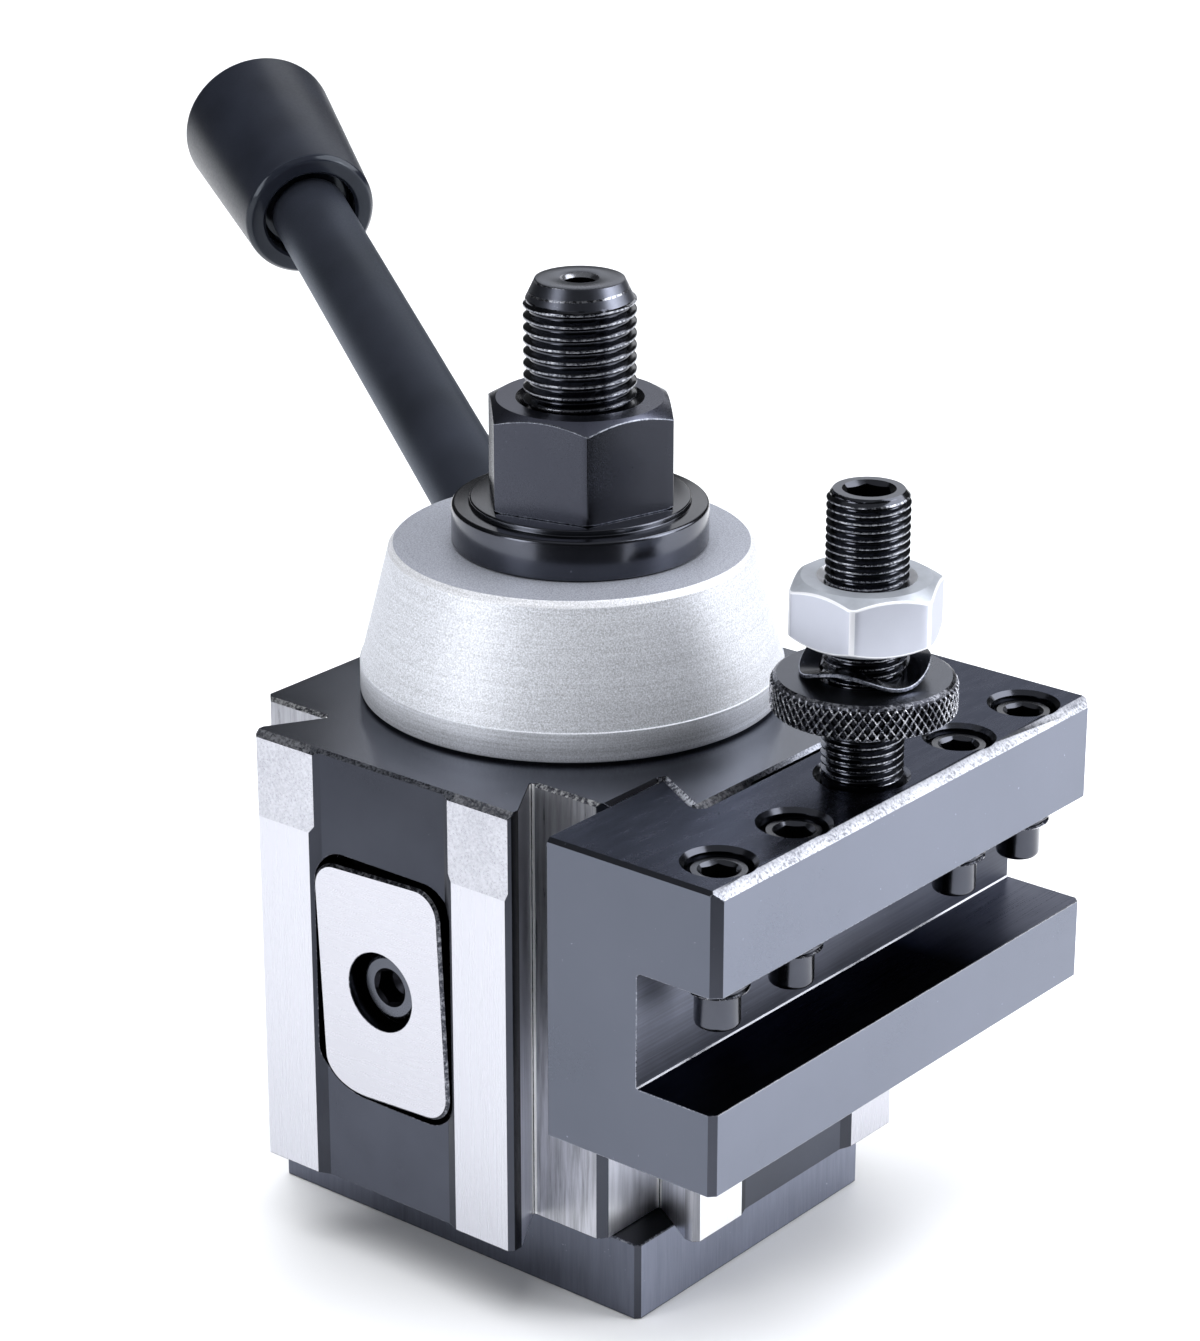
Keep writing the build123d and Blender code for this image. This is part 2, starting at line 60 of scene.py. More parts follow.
# ================================================================= materials
class Mat:
    """A material with one Principled shader and short calls for procedural textures on object coordinates."""

    def __init__(self, name, color, rough, metallic=1.0, ior=1.5, coat=0.0, coat_rough=0.1, aniso=0.0, spec=0.5):
        self.m = bpy.data.materials.new(name)
        self.m.use_nodes = True
        self.t = self.m.node_tree
        self.t.nodes.clear()
        self.out = self.t.nodes.new("ShaderNodeOutputMaterial")
        self.b = self.t.nodes.new("ShaderNodeBsdfPrincipled")
        self.t.links.new(self.b.outputs[0], self.out.inputs[0])
        self.b.inputs["Base Color"].default_value = (*color, 1)
        self.b.inputs["Roughness"].default_value = rough
        self.b.inputs["Metallic"].default_value = metallic
        self.b.inputs["IOR"].default_value = ior
        self.b.inputs["Specular IOR Level"].default_value = spec
        self.b.inputs["Coat Weight"].default_value = coat
        self.b.inputs["Coat Roughness"].default_value = coat_rough
        self.b.inputs["Anisotropic"].default_value = aniso
        self.m.diffuse_color = (*color, 1)
        self.normal = None

    def n(self, kind, **kw):
        node = self.t.nodes.new(kind)
        for k, v in kw.items():
            setattr(node, k, v)
        return node

    def put(self, a, b):
        self.t.links.new(a, b)

    def coord(self, scale=(1, 1, 1), rot=(0, 0, 0), loc=(0, 0, 0)):
        tc = self.n("ShaderNodeTexCoord")
        mp = self.n("ShaderNodeMapping")
        mp.inputs["Scale"].default_value = scale
        mp.inputs["Rotation"].default_value = rot
        mp.inputs["Location"].default_value = loc
        self.put(tc.outputs["Object"], mp.inputs["Vector"])
        return mp.outputs[0]

    def turned_coord(self, cx, cy, kr, kz, axis=None):
        """(radius * kr, 0, z * kz) round a vertical axis at (cx, cy), in metres."""
        tc = self.n("ShaderNodeTexCoord")
        mp = self.n("ShaderNodeMapping")
        mp.inputs["Location"].default_value = (-cx, -cy, 0)
        self.put(tc.outputs["Object"], mp.inputs["Vector"])
        sp = self.n("ShaderNodeSeparateXYZ")
        self.put(mp.outputs[0], sp.inputs[0])
        flat = self.n("ShaderNodeCombineXYZ")
        self.put(sp.outputs[0], flat.inputs[0])
        self.put(sp.outputs[1], flat.inputs[1])
        ln = self.n("ShaderNodeVectorMath", operation="LENGTH")
        self.put(flat.outputs[0], ln.inputs[0])
        cb = self.n("ShaderNodeCombineXYZ")
        a = self.math("MULTIPLY", ln.outputs["Value"], kr)
        b = self.math("MULTIPLY", sp.outputs[2], kz)
        self.put(a, cb.inputs[0])
        self.put(b, cb.inputs[2])
        # a little drift round the axis, so that lines aren't perfect rings
        c = self.math("MULTIPLY", sp.outputs[0], kr * 0.02)
        self.put(c, cb.inputs[1])
        return cb.outputs[0]

    def math(self, op, a, b=None, c=None, clamp=False):
        node = self.n("ShaderNodeMath", operation=op, use_clamp=clamp)
        for i, v in enumerate((a, b, c)):
            if v is None:
                continue
            if isinstance(v, (int, float)):
                node.inputs[i].default_value = v
            else:
                self.put(v, node.inputs[i])
        return node.outputs[0]

    def noise(self, vec, scale, detail=3.0, rough=0.5, dist=0.0):
        node = self.n("ShaderNodeTexNoise")
        node.inputs["Scale"].default_value = scale
        node.inputs["Detail"].default_value = detail
        node.inputs["Roughness"].default_value = rough
        node.inputs["Distortion"].default_value = dist
        self.put(vec, node.inputs["Vector"])
        return node.outputs["Fac"]

    def voronoi(self, vec, scale, feature="F1", out="Distance"):
        node = self.n("ShaderNodeTexVoronoi", feature=feature)
        node.inputs["Scale"].default_value = scale
        self.put(vec, node.inputs["Vector"])
        return node.outputs[out]

    def span(self, fac, lo, hi, a=0.0, b=1.0):
        node = self.n("ShaderNodeMapRange")
        node.clamp = True
        for k, v in (("From Min", lo), ("From Max", hi), ("To Min", a), ("To Max", b)):
            node.inputs[k].default_value = v
        self.put(fac, node.inputs["Value"])
        return node.outputs[0]

    def ramp(self, fac, stops):
        node = self.n("ShaderNodeValToRGB")
        e = node.color_ramp.elements
        while len(e) > 1:
            e.remove(e[-1])
        e[0].position, e[0].color = stops[0][0], (*stops[0][1], 1)
        for p, c in stops[1:]:
            x = e.new(p)
            x.color = (*c, 1)
        self.put(fac, node.inputs[0])
        return node.outputs[0]

    def mix(self, fac, a, b):
        node = self.n("ShaderNodeMix", data_type="RGBA")
        for sock, v in ((node.inputs[0], fac), (node.inputs[6], a), (node.inputs[7], b)):
            if isinstance(v, (int, float)):
                sock.default_value = v
            elif isinstance(v, tuple):
                sock.default_value = (*v, 1)
            else:
                self.put(v, sock)
        return node.outputs[2]

    def color(self, sock):
        self.put(sock, self.b.inputs["Base Color"])

    def rough(self, sock):
        self.put(sock, self.b.inputs["Roughness"])

    def bump(self, height, strength, dist_mm):
        node = self.n("ShaderNodeBump")
        node.inputs["Strength"].default_value = strength
        node.inputs["Distance"].default_value = dist_mm * MM
        self.put(height, node.inputs["Height"])
        if self.normal is not None:
            self.put(self.normal, node.inputs["Normal"])
        self.normal = node.outputs[0]
        self.put(self.normal, self.b.inputs["Normal"])


def oxide(name, dark, light, rough, grain=0.35, streak=None, streak_amount=0.25, coat=0.0, blot=55.0, rise=None, graze=None):
    """Blackened steel: a dim mirror with a cloudy tone, fine grain and optional machining lines under the black.
    rise: (z low, z high, tone low, tone high) for a tone that changes with height, and a fifth value of 1 for along y. graze: tint of the reflection at a low angle."""
    k = Mat(name, light, rough, 1.0, coat=coat, coat_rough=0.12)
    if graze:
        k.b.inputs["Specular Tint"].default_value = (*graze, 1)
    cloud = k.noise(k.coord(), blot, 4, 0.55)
    fine = k.noise(k.coord(), 5200, 2, 0.6)
    tone = k.span(cloud, 0.3, 0.7)
    col = k.mix(tone, dark, light)
    speck = k.span(k.noise(k.coord(), 1500, 2, 0.6), 0.74, 0.80, 0, 0.5)
    col = k.mix(speck, col, tuple(min(1.0, x * 3.2) for x in light))
    r = k.math("ADD", k.span(cloud, 0.25, 0.75, rough - 0.035, rough + 0.045), k.span(fine, 0.3, 0.7, -0.02, 0.03))
    if streak:
        lines = k.noise(k.coord(scale=streak), 1.0, 4, 0.62)
        col = k.mix(k.span(lines, 0.35, 0.7, 0, streak_amount), col, tuple(x * 1.9 for x in light))
        r = k.math("ADD", r, k.span(lines, 0.3, 0.7, -0.03, 0.05))
        k.bump(lines, 0.16, 0.02)
    if rise:
        sp = k.n("ShaderNodeSeparateXYZ")
        k.put(k.coord(), sp.inputs[0])
        col = k.mix(k.span(sp.outputs[rise[4] if len(rise) > 4 else 2], rise[0] * MM, rise[1] * MM, rise[2], rise[3]), (0.0, 0.0, 0.0), col)
    k.color(col)
    k.rough(r)
    k.bump(fine, grain, 0.006)
    return k.m


def steel(name, color, rough, line_scale, amount=0.12, bump=0.25, rot=(0, 0, 0), dark=0.72, rise=None, metallic=1.0):
    """Bright machined steel with directional lines. rise: (z low, z high, tone low, tone high) for a painted reflection
    that changes with height.
    """
    k = Mat(name, color, rough, metallic)
    lines = k.noise(k.coord(scale=line_scale, rot=rot), 1.0, 5, 0.65)
    broad = k.noise(k.coord(), 70, 3, 0.5)
    low = tuple(x * dark for x in color)
    f = k.span(lines, 0.32, 0.62, 1 - amount, 1)
    f = k.math("MULTIPLY", f, k.span(broad, 0.3, 0.7, 0.9, 1.0))
    if rise:
        sp = k.n("ShaderNodeSeparateXYZ")
        k.put(k.coord(), sp.inputs[0])
        f = k.math("MULTIPLY", f, k.span(sp.outputs[2], rise[0] * MM, rise[1] * MM, rise[2], rise[3]))
    k.color(k.mix(f, low, color))
    k.rough(k.math("ADD", k.span(lines, 0.3, 0.7, rough - 0.06, rough + 0.08), k.span(broad, 0.3, 0.7, -0.02, 0.03)))
    k.bump(lines, bump, 0.012)
    return k.m


def speckle(name, dark, bright, scale=2600, cut=(0.44, 0.56), rough=0.3, rise=None):
    """A worn corner: the black is broken and steel shows through in grains. rise: as in oxide, for a band that dies out upwards."""
    k = Mat(name, bright, rough, 1.0)
    g = k.noise(k.coord(), scale, 3, 0.7)
    patch = k.noise(k.coord(), 160, 2, 0.5)
    f = k.span(k.math("ADD", g, k.span(patch, 0.3, 0.7, -0.06, 0.06)), cut[0], cut[1])
    if rise:
        sp = k.n("ShaderNodeSeparateXYZ")
        k.put(k.coord(), sp.inputs[0])
        f = k.math("MULTIPLY", f, k.span(sp.outputs[2], rise[0] * MM, rise[1] * MM, rise[2], rise[3]))
    k.color(k.mix(f, dark, bright))
    k.rough(k.span(g, 0.3, 0.7, rough - 0.08, rough + 0.12))
    k.bump(g, 0.5, 0.03)
    return k.m


OX = (0.080, 0.087, 0.111)
OX_D = (0.062, 0.067, 0.086)
M_body = oxide("body_oxide", OX_D, OX, 0.30, rise=(20, 66, 0.92, 0.54))
M_body_top = oxide("body_top_oxide", (0.140, 0.150, 0.183), (0.176, 0.189, 0.226), 0.20, grain=0.22)
M_facet = oxide("facet_oxide", (0.050, 0.053, 0.066), (0.066, 0.07, 0.086), 0.36)
# painted shade: a near-black oxide for faces in deep shade: the front lands under the dovetail noses, the pad pockets,
# the +X shoulders' top rims, the cap screws' sockets and the T-nut's top
M_shade_black = oxide("painted_shade_black", (0.010, 0.010, 0.013), (0.017, 0.018, 0.022), 0.36)
# painted shade: a darker copy of the oxide for the channel's slanted walls
M_wall = oxide("wall_painted_shade", (0.030, 0.032, 0.040), (0.045, 0.048, 0.060), 0.32)
# painted light: the holder's oxide comes in a brighter copy (M_hold) for the jaws' +X faces and other sides, and a
# darker copy (M_hold_end) for the two end faces, the shade on the ends
M_hold = oxide("holder_oxide", (0.150, 0.164, 0.205), (0.168, 0.182, 0.228), 0.30, blot=40)
M_hold_end = oxide("holder_end_painted_shade", (0.096, 0.105, 0.131), (0.108, 0.117, 0.146), 0.30, blot=40)
M_hold_top = oxide("holder_top_oxide", (0.050, 0.053, 0.064), (0.066, 0.070, 0.085), 0.24, grain=0.3,
                   streak=(700, 140, 140), streak_amount=0.55, graze=(0.62, 0.64, 0.72))
# painted shade: the slot's back wall darkens towards +Y (rise along y), over the real streaked oxide
M_hold_slot = oxide("holder_slot_oxide_and_painted_shade", (0.135, 0.145, 0.18), (0.188, 0.20, 0.25), 0.52, streak=(200, 60, 3800),
                    streak_amount=0.3, rise=(-12, 34, 1.0, 0.42, 1))
# painted shade: near black in the slot's floor and ceiling and in the female dovetail's gap, lightening only towards
# the +Y end (rise along y)
M_slot_shade = oxide("holder_slot_painted_shade", (0.165, 0.172, 0.205), (0.24, 0.25, 0.30), 0.30, streak=(3800, 90, 200),
                    streak_amount=0.3, graze=(0.26, 0.27, 0.31), rise=(12, 36, 0.095, 1.0, 1))
M_hold_corner = oxide("holder_corner", (0.05, 0.053, 0.066), (0.066, 0.07, 0.086), 0.32)
M_tnut = oxide("tnut_oxide", (0.096, 0.104, 0.132), (0.116, 0.125, 0.16), 0.36, streak=(2400, 2400, 130),
               streak_amount=0.22)
# painted light: a brighter copy of the T-nut's oxide for its two ±X faces
M_tnut_side = oxide("tnut_side_painted_light", (0.204, 0.22, 0.278), (0.244, 0.263, 0.33), 0.38, streak=(2400, 2400, 130),
                    streak_amount=0.22)
M_ground = steel("ground_strip", (0.575, 0.578, 0.625), 0.27, (3300, 3300, 45), amount=0.12, bump=0.12)
M_pad = steel("ground_pad", (0.545, 0.545, 0.588), 0.25, (90, 90, 2600), amount=0.08, bump=0.08)
# painted reflection: the shoulders and flanks are brighter towards the bottom (rise)
M_shoulder = steel("milled_shoulder", (0.58, 0.588, 0.64), 0.32, (1500, 1500, 90), amount=0.75, bump=0.6,
                   rot=(0, math.radians(24), 0), dark=0.26, rise=(24, 58, 1.05, 0.56), metallic=0.62)
# painted light: a brighter copy of the milled shoulder for the +X side
M_shoulder_x = steel("milled_shoulder_side_painted_light", (0.93, 0.94, 0.98), 0.32, (1500, 1500, 90), amount=0.4, bump=0.45, dark=0.5)
M_flank = steel("milled_flank", (0.62, 0.63, 0.69), 0.34, (1900, 1900, 90), amount=0.5, bump=0.45,
                rot=(0, math.radians(-6), 0), dark=0.30, rise=(24, 52, 1.25, 0.48))
M_flank_x = steel("milled_land_side", (0.50, 0.507, 0.55), 0.36, (1900, 1900, 90), amount=0.6, bump=0.45, dark=0.3)
M_facet_x = steel("milled_facet_side", (0.30, 0.305, 0.335), 0.42, (1900, 1900, 90), amount=0.6, bump=0.5, dark=0.4)
# painted light: a brighter copy of the ground strip for the +X side
M_ground_x = steel("ground_strip_side_painted_light", (0.98, 0.985, 1.0), 0.24, (3300, 3300, 45), amount=0.06, bump=0.06)
# painted highlight: a white line on the V roots' small fillets
M_root_highlight = steel("root_painted_highlight", (1.0, 1.0, 1.0), 0.36, (900, 900, 80), amount=0.25, bump=0.2, metallic=0.5)
M_edge = speckle("edge_worn", (0.20, 0.205, 0.24), (0.95, 0.96, 0.99), scale=1800, cut=(0.42, 0.56))
M_edge_dark = speckle("edge_rubbed", (0.040, 0.042, 0.052), (0.17, 0.176, 0.205), cut=(0.50, 0.66))
M_pad_edge = speckle("pad_edge", (0.045, 0.047, 0.058), (0.34, 0.35, 0.39), scale=1900, cut=(0.46, 0.68))
M_hold_edge = speckle("holder_edge_worn", (0.105, 0.110, 0.130), (0.43, 0.44, 0.478), scale=2400, cut=(0.36, 0.60), rough=0.36,
                      rise=(TH_Z1 - TOP_C, TH_Z1, 1.25, 0.30))
M_hold_soft = speckle("holder_edge_rubbed", (0.12, 0.128, 0.155), (0.32, 0.335, 0.385), cut=(0.44, 0.62))
M_strip_top = speckle("strip_chamfer", (0.20, 0.206, 0.24), (0.56, 0.57, 0.62), scale=2400, cut=(0.42, 0.60), rough=0.34)
M_relief = speckle("strip_relief", (0.385, 0.389, 0.425), (0.535, 0.54, 0.582), scale=3200, cut=(0.36, 0.64), rough=0.30)
M_gap = speckle("flank_rim", (0.20, 0.205, 0.24), (0.92, 0.93, 0.97), scale=2000, cut=(0.44, 0.58), rough=0.3)
M_bore = steel("bore_steel", (0.5, 0.5, 0.52), 0.32, (150, 150, 4000), amount=0.3)
M_gloss = oxide("gloss_black", (0.050, 0.053, 0.066), (0.078, 0.083, 0.101), 0.19, grain=0.2, coat=0.2)
M_nut = oxide("nut_black", (0.042, 0.044, 0.056), (0.052, 0.055, 0.069), 0.24, grain=0.18)
M_nut_top = oxide("nut_black_top", (0.103, 0.110, 0.149), (0.131, 0.139, 0.185), 0.28, grain=0.2)
# painted shade: a darker copy of the nut's black for the flats turned towards the view's right
M_nut_dark = oxide("nut_black_painted_shade", (0.026, 0.0275, 0.034), (0.033, 0.035, 0.043), 0.24, grain=0.18)
M_line = steel("bright_line", (0.34, 0.35, 0.385), 0.24, (800, 800, 800), amount=0.5, bump=0.3, dark=0.35)
M_thread = oxide("thread_black", (0.040, 0.042, 0.052), (0.075, 0.08, 0.096), 0.17, grain=0.22, coat=0.15)
# thread crests: bright speckle, partly wear and partly a painted highlight
M_thread_wear_and_glint = speckle("thread_crest", (0.075, 0.08, 0.096), (0.42, 0.43, 0.47), scale=2200, cut=(0.42, 0.62), rough=0.24)
M_collar = speckle("screw_collar", (0.20, 0.206, 0.24), (0.78, 0.79, 0.83), scale=1800, cut=(0.38, 0.60), rough=0.22)
M_stud_top = oxide("stud_top", (0.13, 0.139, 0.168), (0.165, 0.176, 0.212), 0.30, grain=0.2)
M_stud_cone = oxide("stud_cone", (0.095, 0.101, 0.124), (0.125, 0.133, 0.160), 0.35, grain=0.2)
M_screw = oxide("screw_black", (0.045, 0.048, 0.058), (0.085, 0.09, 0.11), 0.22, grain=0.3, coat=0.2)
M_screw_face = oxide("screw_face", (0.090, 0.096, 0.115), (0.125, 0.132, 0.157), 0.26, grain=0.3)
M_knurl = oxide("knurl_black", (0.020, 0.021, 0.026), (0.040, 0.042, 0.052), 0.26, grain=0.3)
# knurl ridge tops: bright speckle, partly wear and partly a painted highlight
M_crest = speckle("knurl_crest", (0.10, 0.105, 0.125), (0.62, 0.63, 0.68), scale=1700, cut=(0.42, 0.60), rough=0.26)
M_wave = oxide("wave_black", (0.030, 0.032, 0.040), (0.055, 0.058, 0.072), 0.24, grain=0.25)
M_bright = steel("bright_cut", (0.85, 0.86, 0.9), 0.2, (600, 600, 600), amount=0.2, bump=0.2)


def head_material(name, tint, rough, lines_amount, metallic=0.4):
    """Bead-blasted steel: a sandy grain over faint turning lines."""
    k = Mat(name, tuple(0.83 * x for x in tint), rough, metallic, spec=0.4)
    k.b.inputs["Specular Tint"].default_value = (0.6, 0.61, 0.64, 1)
    v = k.turned_coord(0, 0, 1.0, 1.0)
    lines = k.noise(v, 3600, 3, 0.7)
    grit = k.noise(k.coord(), 5200, 3, 0.75)
    cell = k.voronoi(k.coord(), 4800)
    cloud = k.noise(k.coord(), 55, 3, 0.5)
    f = k.math("ADD", k.span(grit, 0.34, 0.66, 0.0, 1.0 - lines_amount), k.span(lines, 0.3, 0.7, 0.0, lines_amount))
    f = k.math("MULTIPLY", f, k.span(cloud, 0.3, 0.7, 0.92, 1.0))
    k.color(k.mix(f, tuple(0.38 * x for x in tint), tuple(0.99 * x for x in tint)))
    k.rough(k.span(grit, 0.3, 0.7, rough - 0.07, rough + 0.07))
    k.bump(lines, 0.35 * lines_amount, 0.015)
    k.bump(cell, 0.30, 0.018)
    k.bump(grit, 0.40, 0.016)
    return k.m


def zinc_material(name, color, metallic=0.6, rough=0.26, grain=0.05, dark=0.96):
    k = Mat(name, color, rough, metallic)
    k.b.inputs["Specular Tint"].default_value = (0.5, 0.5, 0.52, 1)
    cloud = k.noise(k.coord(), 150, 4, 0.6)
    fine = k.noise(k.coord(), 3600, 3, 0.6)
    k.color(k.mix(k.span(cloud, 0.3, 0.7), tuple(dark * x for x in color), tuple(min(1.0, 1.03 * x) for x in color)))
    k.rough(k.math("ADD", k.span(cloud, 0.3, 0.7, rough - 0.03, rough + 0.03), k.span(fine, 0.3, 0.7, -0.01, 0.02)))
    k.bump(fine, grain, 0.01)
    return k.m


def handle_material():
    k = Mat("handle_matte", (0.024, 0.025, 0.029), 0.44, 0.5, ior=1.5, spec=0.3)
    k.b.inputs["Specular Tint"].default_value = (0.84, 0.91, 1.0, 1)
    fine = k.noise(k.coord(), 4200, 3, 0.65)
    cloud = k.noise(k.coord(), 60, 3, 0.55)
    k.color(k.mix(k.span(cloud, 0.3, 0.7), (0.0185, 0.0212, 0.029), (0.029, 0.0328, 0.0455)))
    k.rough(k.math("ADD", k.span(fine, 0.3, 0.7, 0.40, 0.50), k.span(cloud, 0.3, 0.7, -0.03, 0.03)))
    k.bump(fine, 0.35, 0.012)
    return k.m


def knob_material(name, lo, hi):
    k = Mat(name, (0.014, 0.015, 0.018), lo, 0.0, ior=1.45, spec=0.38)
    k.b.inputs["Specular Tint"].default_value = (0.82, 0.90, 1.0, 1)
    fine = k.noise(k.coord(), 2600, 3, 0.6)
    cloud = k.noise(k.coord(), 90, 3, 0.55)
    k.color(k.mix(k.span(cloud, 0.3, 0.7), (0.0078, 0.009, 0.0135), (0.0125, 0.0145, 0.0215)))
    k.rough(k.span(fine, 0.3, 0.7, lo, hi))
    k.bump(fine, 0.18, 0.012)
    return k.m


M_head = head_material("blasted_head", (0.945, 0.968, 1.03), 0.50, 0.20)
M_head_top = head_material("blasted_head_top", (0.49, 0.512, 0.585), 0.46, 0.10, metallic=0.45)
M_head_band = head_material("head_band", (0.84, 0.865, 0.93), 0.46, 0.40, metallic=0.35)
M_head_rim = head_material("head_rim", (0.93, 0.94, 0.985), 0.46, 0.3)
M_zinc = zinc_material("zinc_plate", (0.50, 0.52, 0.592), rough=0.34)
M_zinc_top = zinc_material("zinc_top", (0.45, 0.478, 0.53), metallic=0.5, rough=0.36, grain=0.35, dark=0.66)
M_zinc_edge = zinc_material("zinc_edge", (0.80, 0.81, 0.85), metallic=0.4, rough=0.3)
M_handle = handle_material()
M_knob = knob_material("knob_satin", 0.30, 0.40)
M_knob_mouth = knob_material("knob_mouth", 0.10, 0.18)


def inner_material(name, color, rough, dark=0.7):
    k = Mat(name, color, rough, 1.0)
    v = k.noise(k.coord(scale=(300, 300, 2600)), 1.0, 4, 0.6)
    c = k.noise(k.coord(), 90, 3, 0.5)
    k.color(k.mix(k.span(c, 0.3, 0.7), tuple(x * dark for x in color), color))
    k.rough(k.span(v, 0.3, 0.7, rough - 0.06, rough + 0.08))
    k.bump(v, 0.2, 0.01)
    return k.m


M_inner = inner_material("inner_turned", (0.52, 0.52, 0.54), 0.30)
M_spring = inner_material("spring_wire", (0.36, 0.36, 0.38), 0.28)


# ============================================================== mesh builders
def finish_mesh(me, mats, angle=22.0):
    for m in mats:
        me.materials.append(m)
    me.polygons.foreach_set("use_smooth", np.ones(len(me.polygons), bool))
    me.set_sharp_from_angle(angle=math.radians(angle))
    me.update()
    return me


def new_mesh(name, verts, faces, mat_ids=None):
    """verts in mm; returned mesh is in mm too."""
    me = bpy.data.meshes.new(name)
    me.from_pydata([tuple(map(float, v)) for v in verts], [], [tuple(int(i) for i in f) for f in faces])
    if mat_ids is not None:
        me.polygons.foreach_set("material_index", np.array(mat_ids, np.int32))
    me.validate()
    me.update()
    return me


def place(name, me, mats, body, replaces=(), angle=22.0, matrix=None):
    """Scales a mesh from mm to metres, makes the object and hangs it on its body."""
    me.transform(Matrix.Scale(MM, 4) if matrix is None else Matrix.Scale(MM, 4) @ matrix)
    if len(me.materials) == 0:
        finish_mesh(me, mats, angle)
    ob = bpy.data.objects.new(name, me)
    bpy.context.scene.collection.objects.link(ob)
    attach(ob, body)
    if replaces:
        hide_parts(*replaces)
    return ob


def grid(R, Z, cx=0.0, cy=0.0, mats=None, cap_first=False, cap_last=False, th=None):
    """A surface of rows round a vertical axis. R and Z are rows x n arrays; mats has one id per band."""
    R, Z = np.array(R, float), np.array(Z, float)
    rows, n = R.shape
    if th is None:
        th = np.linspace(0, 2 * math.pi, n, endpoint=False)
    X, Y = cx + R * np.cos(th), cy + R * np.sin(th)
    verts = np.stack([X, Y, Z], -1).reshape(-1, 3).tolist()
    faces, ids = [], []
    for i in range(rows - 1):
        for j in range(n):
            k = (j + 1) % n
            a, b, c, d = i * n + j, i * n + k, (i + 1) * n + k, (i + 1) * n + j
            faces.append((a, b, c, d))
            ids.append(0 if mats is None else mats[i])
    if cap_first:
        verts.append((cx, cy, float(Z[0].mean())))
        o = len(verts) - 1
        faces += [(o, (j + 1) % n, j) for j in range(n)]
        ids += [0 if mats is None else mats[0]] * n
    if cap_last:
        verts.append((cx, cy, float(Z[-1].mean())))
        o, s = len(verts) - 1, (rows - 1) * n
        faces += [(o, s + j, s + (j + 1) % n) for j in range(n)]
        ids += [0 if mats is None else mats[-1]] * n
    return verts, faces, ids


def rounded(points, radii, steps=4):
    """Puts an arc of the given radius at each inner corner of an open (r, z) profile. Returns points and, per segment, the index of the source segment."""
    out, src = [points[0]], []
    for i in range(1, len(points) - 1):
        p0, p, p1 = np.array(points[i - 1], float), np.array(points[i], float), np.array(points[i + 1], float)
        r = radii[i] if i < len(radii) else 0
        a, b = p0 - p, p1 - p
        la, lb = np.linalg.norm(a), np.linalg.norm(b)
        if r <= 0 or la < 1e-6 or lb < 1e-6:
            out.append(tuple(p))
            src.append(i - 1)
            continue
        a, b = a / la, b / lb
        ang = math.acos(max(-1, min(1, float(a @ b))))
        t = min(r / math.tan(ang / 2), la * 0.48, lb * 0.48)
        rr = t * math.tan(ang / 2)
        c = p + (a + b) / np.linalg.norm(a + b) * (rr / math.sin(ang / 2))
        s, e = p + a * t, p + b * t
        out.append(tuple(s))
        src.append(i - 1)
        vs, ve = s - c, e - c
        tot = math.atan2(vs[0] * ve[1] - vs[1] * ve[0], float(vs @ ve))
        for q in range(1, steps + 1):
            w = tot * q / steps
            out.append((c[0] + vs[0] * math.cos(w) - vs[1] * math.sin(w), c[1] + vs[0] * math.sin(w) + vs[1] * math.cos(w)))
            src.append(i - 1 if q <= steps / 2 else i)
    out.append(points[-1])
    src.append(len(points) - 2)
    return out, src


def lathe(profile, n=128, cx=0.0, cy=0.0, radii=None, mats=None, cap_first=False, cap_last=False, steps=4):
    if radii is not None:
        profile, src = rounded(profile, radii, steps)
        ids = [mats[s] for s in src] if mats else None
    else:
        ids = mats
    R = np.repeat(np.array([p[0] for p in profile], float)[:, None], n, 1)
    Z = np.repeat(np.array([p[1] for p in profile], float)[:, None], n, 1)
    return grid(R, Z, cx, cy, ids, cap_first, cap_last)


def merge(*parts):
    verts, faces, ids = [], [], []
    for v, f, i in parts:
        o = len(verts)
        verts += list(v)
        faces += [tuple(x + o for x in q) for q in f]
        ids += list(i)
    return verts, faces, ids


def prism_mesh(name, outline, z0, z1, side_ids, top_id, bottom_id):
    n = len(outline)
    verts = [(x, y, z0) for x, y in outline] + [(x, y, z1) for x, y in outline]
    area = sum(outline[i][0] * outline[(i + 1) % n][1] - outline[(i + 1) % n][0] * outline[i][1] for i in range(n))
    faces, ids = [], []
    for i in range(n):
        j = (i + 1) % n
        faces.append((i, j, n + j, n + i) if area > 0 else (j, i, n + i, n + j))
        ids.append(side_ids[i] if not isinstance(side_ids, int) else side_ids)
    top, bot = list(range(n, 2 * n)), list(range(n))[::-1]
    if area < 0:
        top, bot = top[::-1], bot[::-1]
    faces += [tuple(top), tuple(bot)]
    ids += [top_id, bottom_id]
    return new_mesh(name, verts, faces, ids)


def cylinder(name, r, z0, z1, n=96, mat=0, matrix=None, cx=0.0, cy=0.0, rings=None):
    """A closed cutter: rings is an optional list of (r, z)."""
    prof = rings or [(r, z0), (r, z1)]
    me = new_mesh(name, *lathe(prof, n, cx, cy, mats=[mat] * (len(prof) - 1), cap_first=True, cap_last=True))
    me.polygons.foreach_set("material_index", np.full(len(me.polygons), mat, np.int32))
    if matrix is not None:
        me.transform(matrix)
    return me


def cut(me, cutters, mats):
    """Subtracts each cutter mesh, keeping its own material ids on the new faces."""
    base = bpy.data.objects.new("tmp_base", me)
    for m in mats:
        me.materials.append(m)
    bpy.context.scene.collection.objects.link(base)
    tools = []
    for c in cutters:
        for m in mats:
            c.materials.append(m)
        o = bpy.data.objects.new("tmp_cut", c)
        bpy.context.scene.collection.objects.link(o)
        tools.append(o)
        b = base.modifiers.new("cut", "BOOLEAN")
        b.operation, b.solver, b.object = "DIFFERENCE", "EXACT", o
        b.use_hole_tolerant = True
        b.material_mode = "INDEX"
    return base, tools


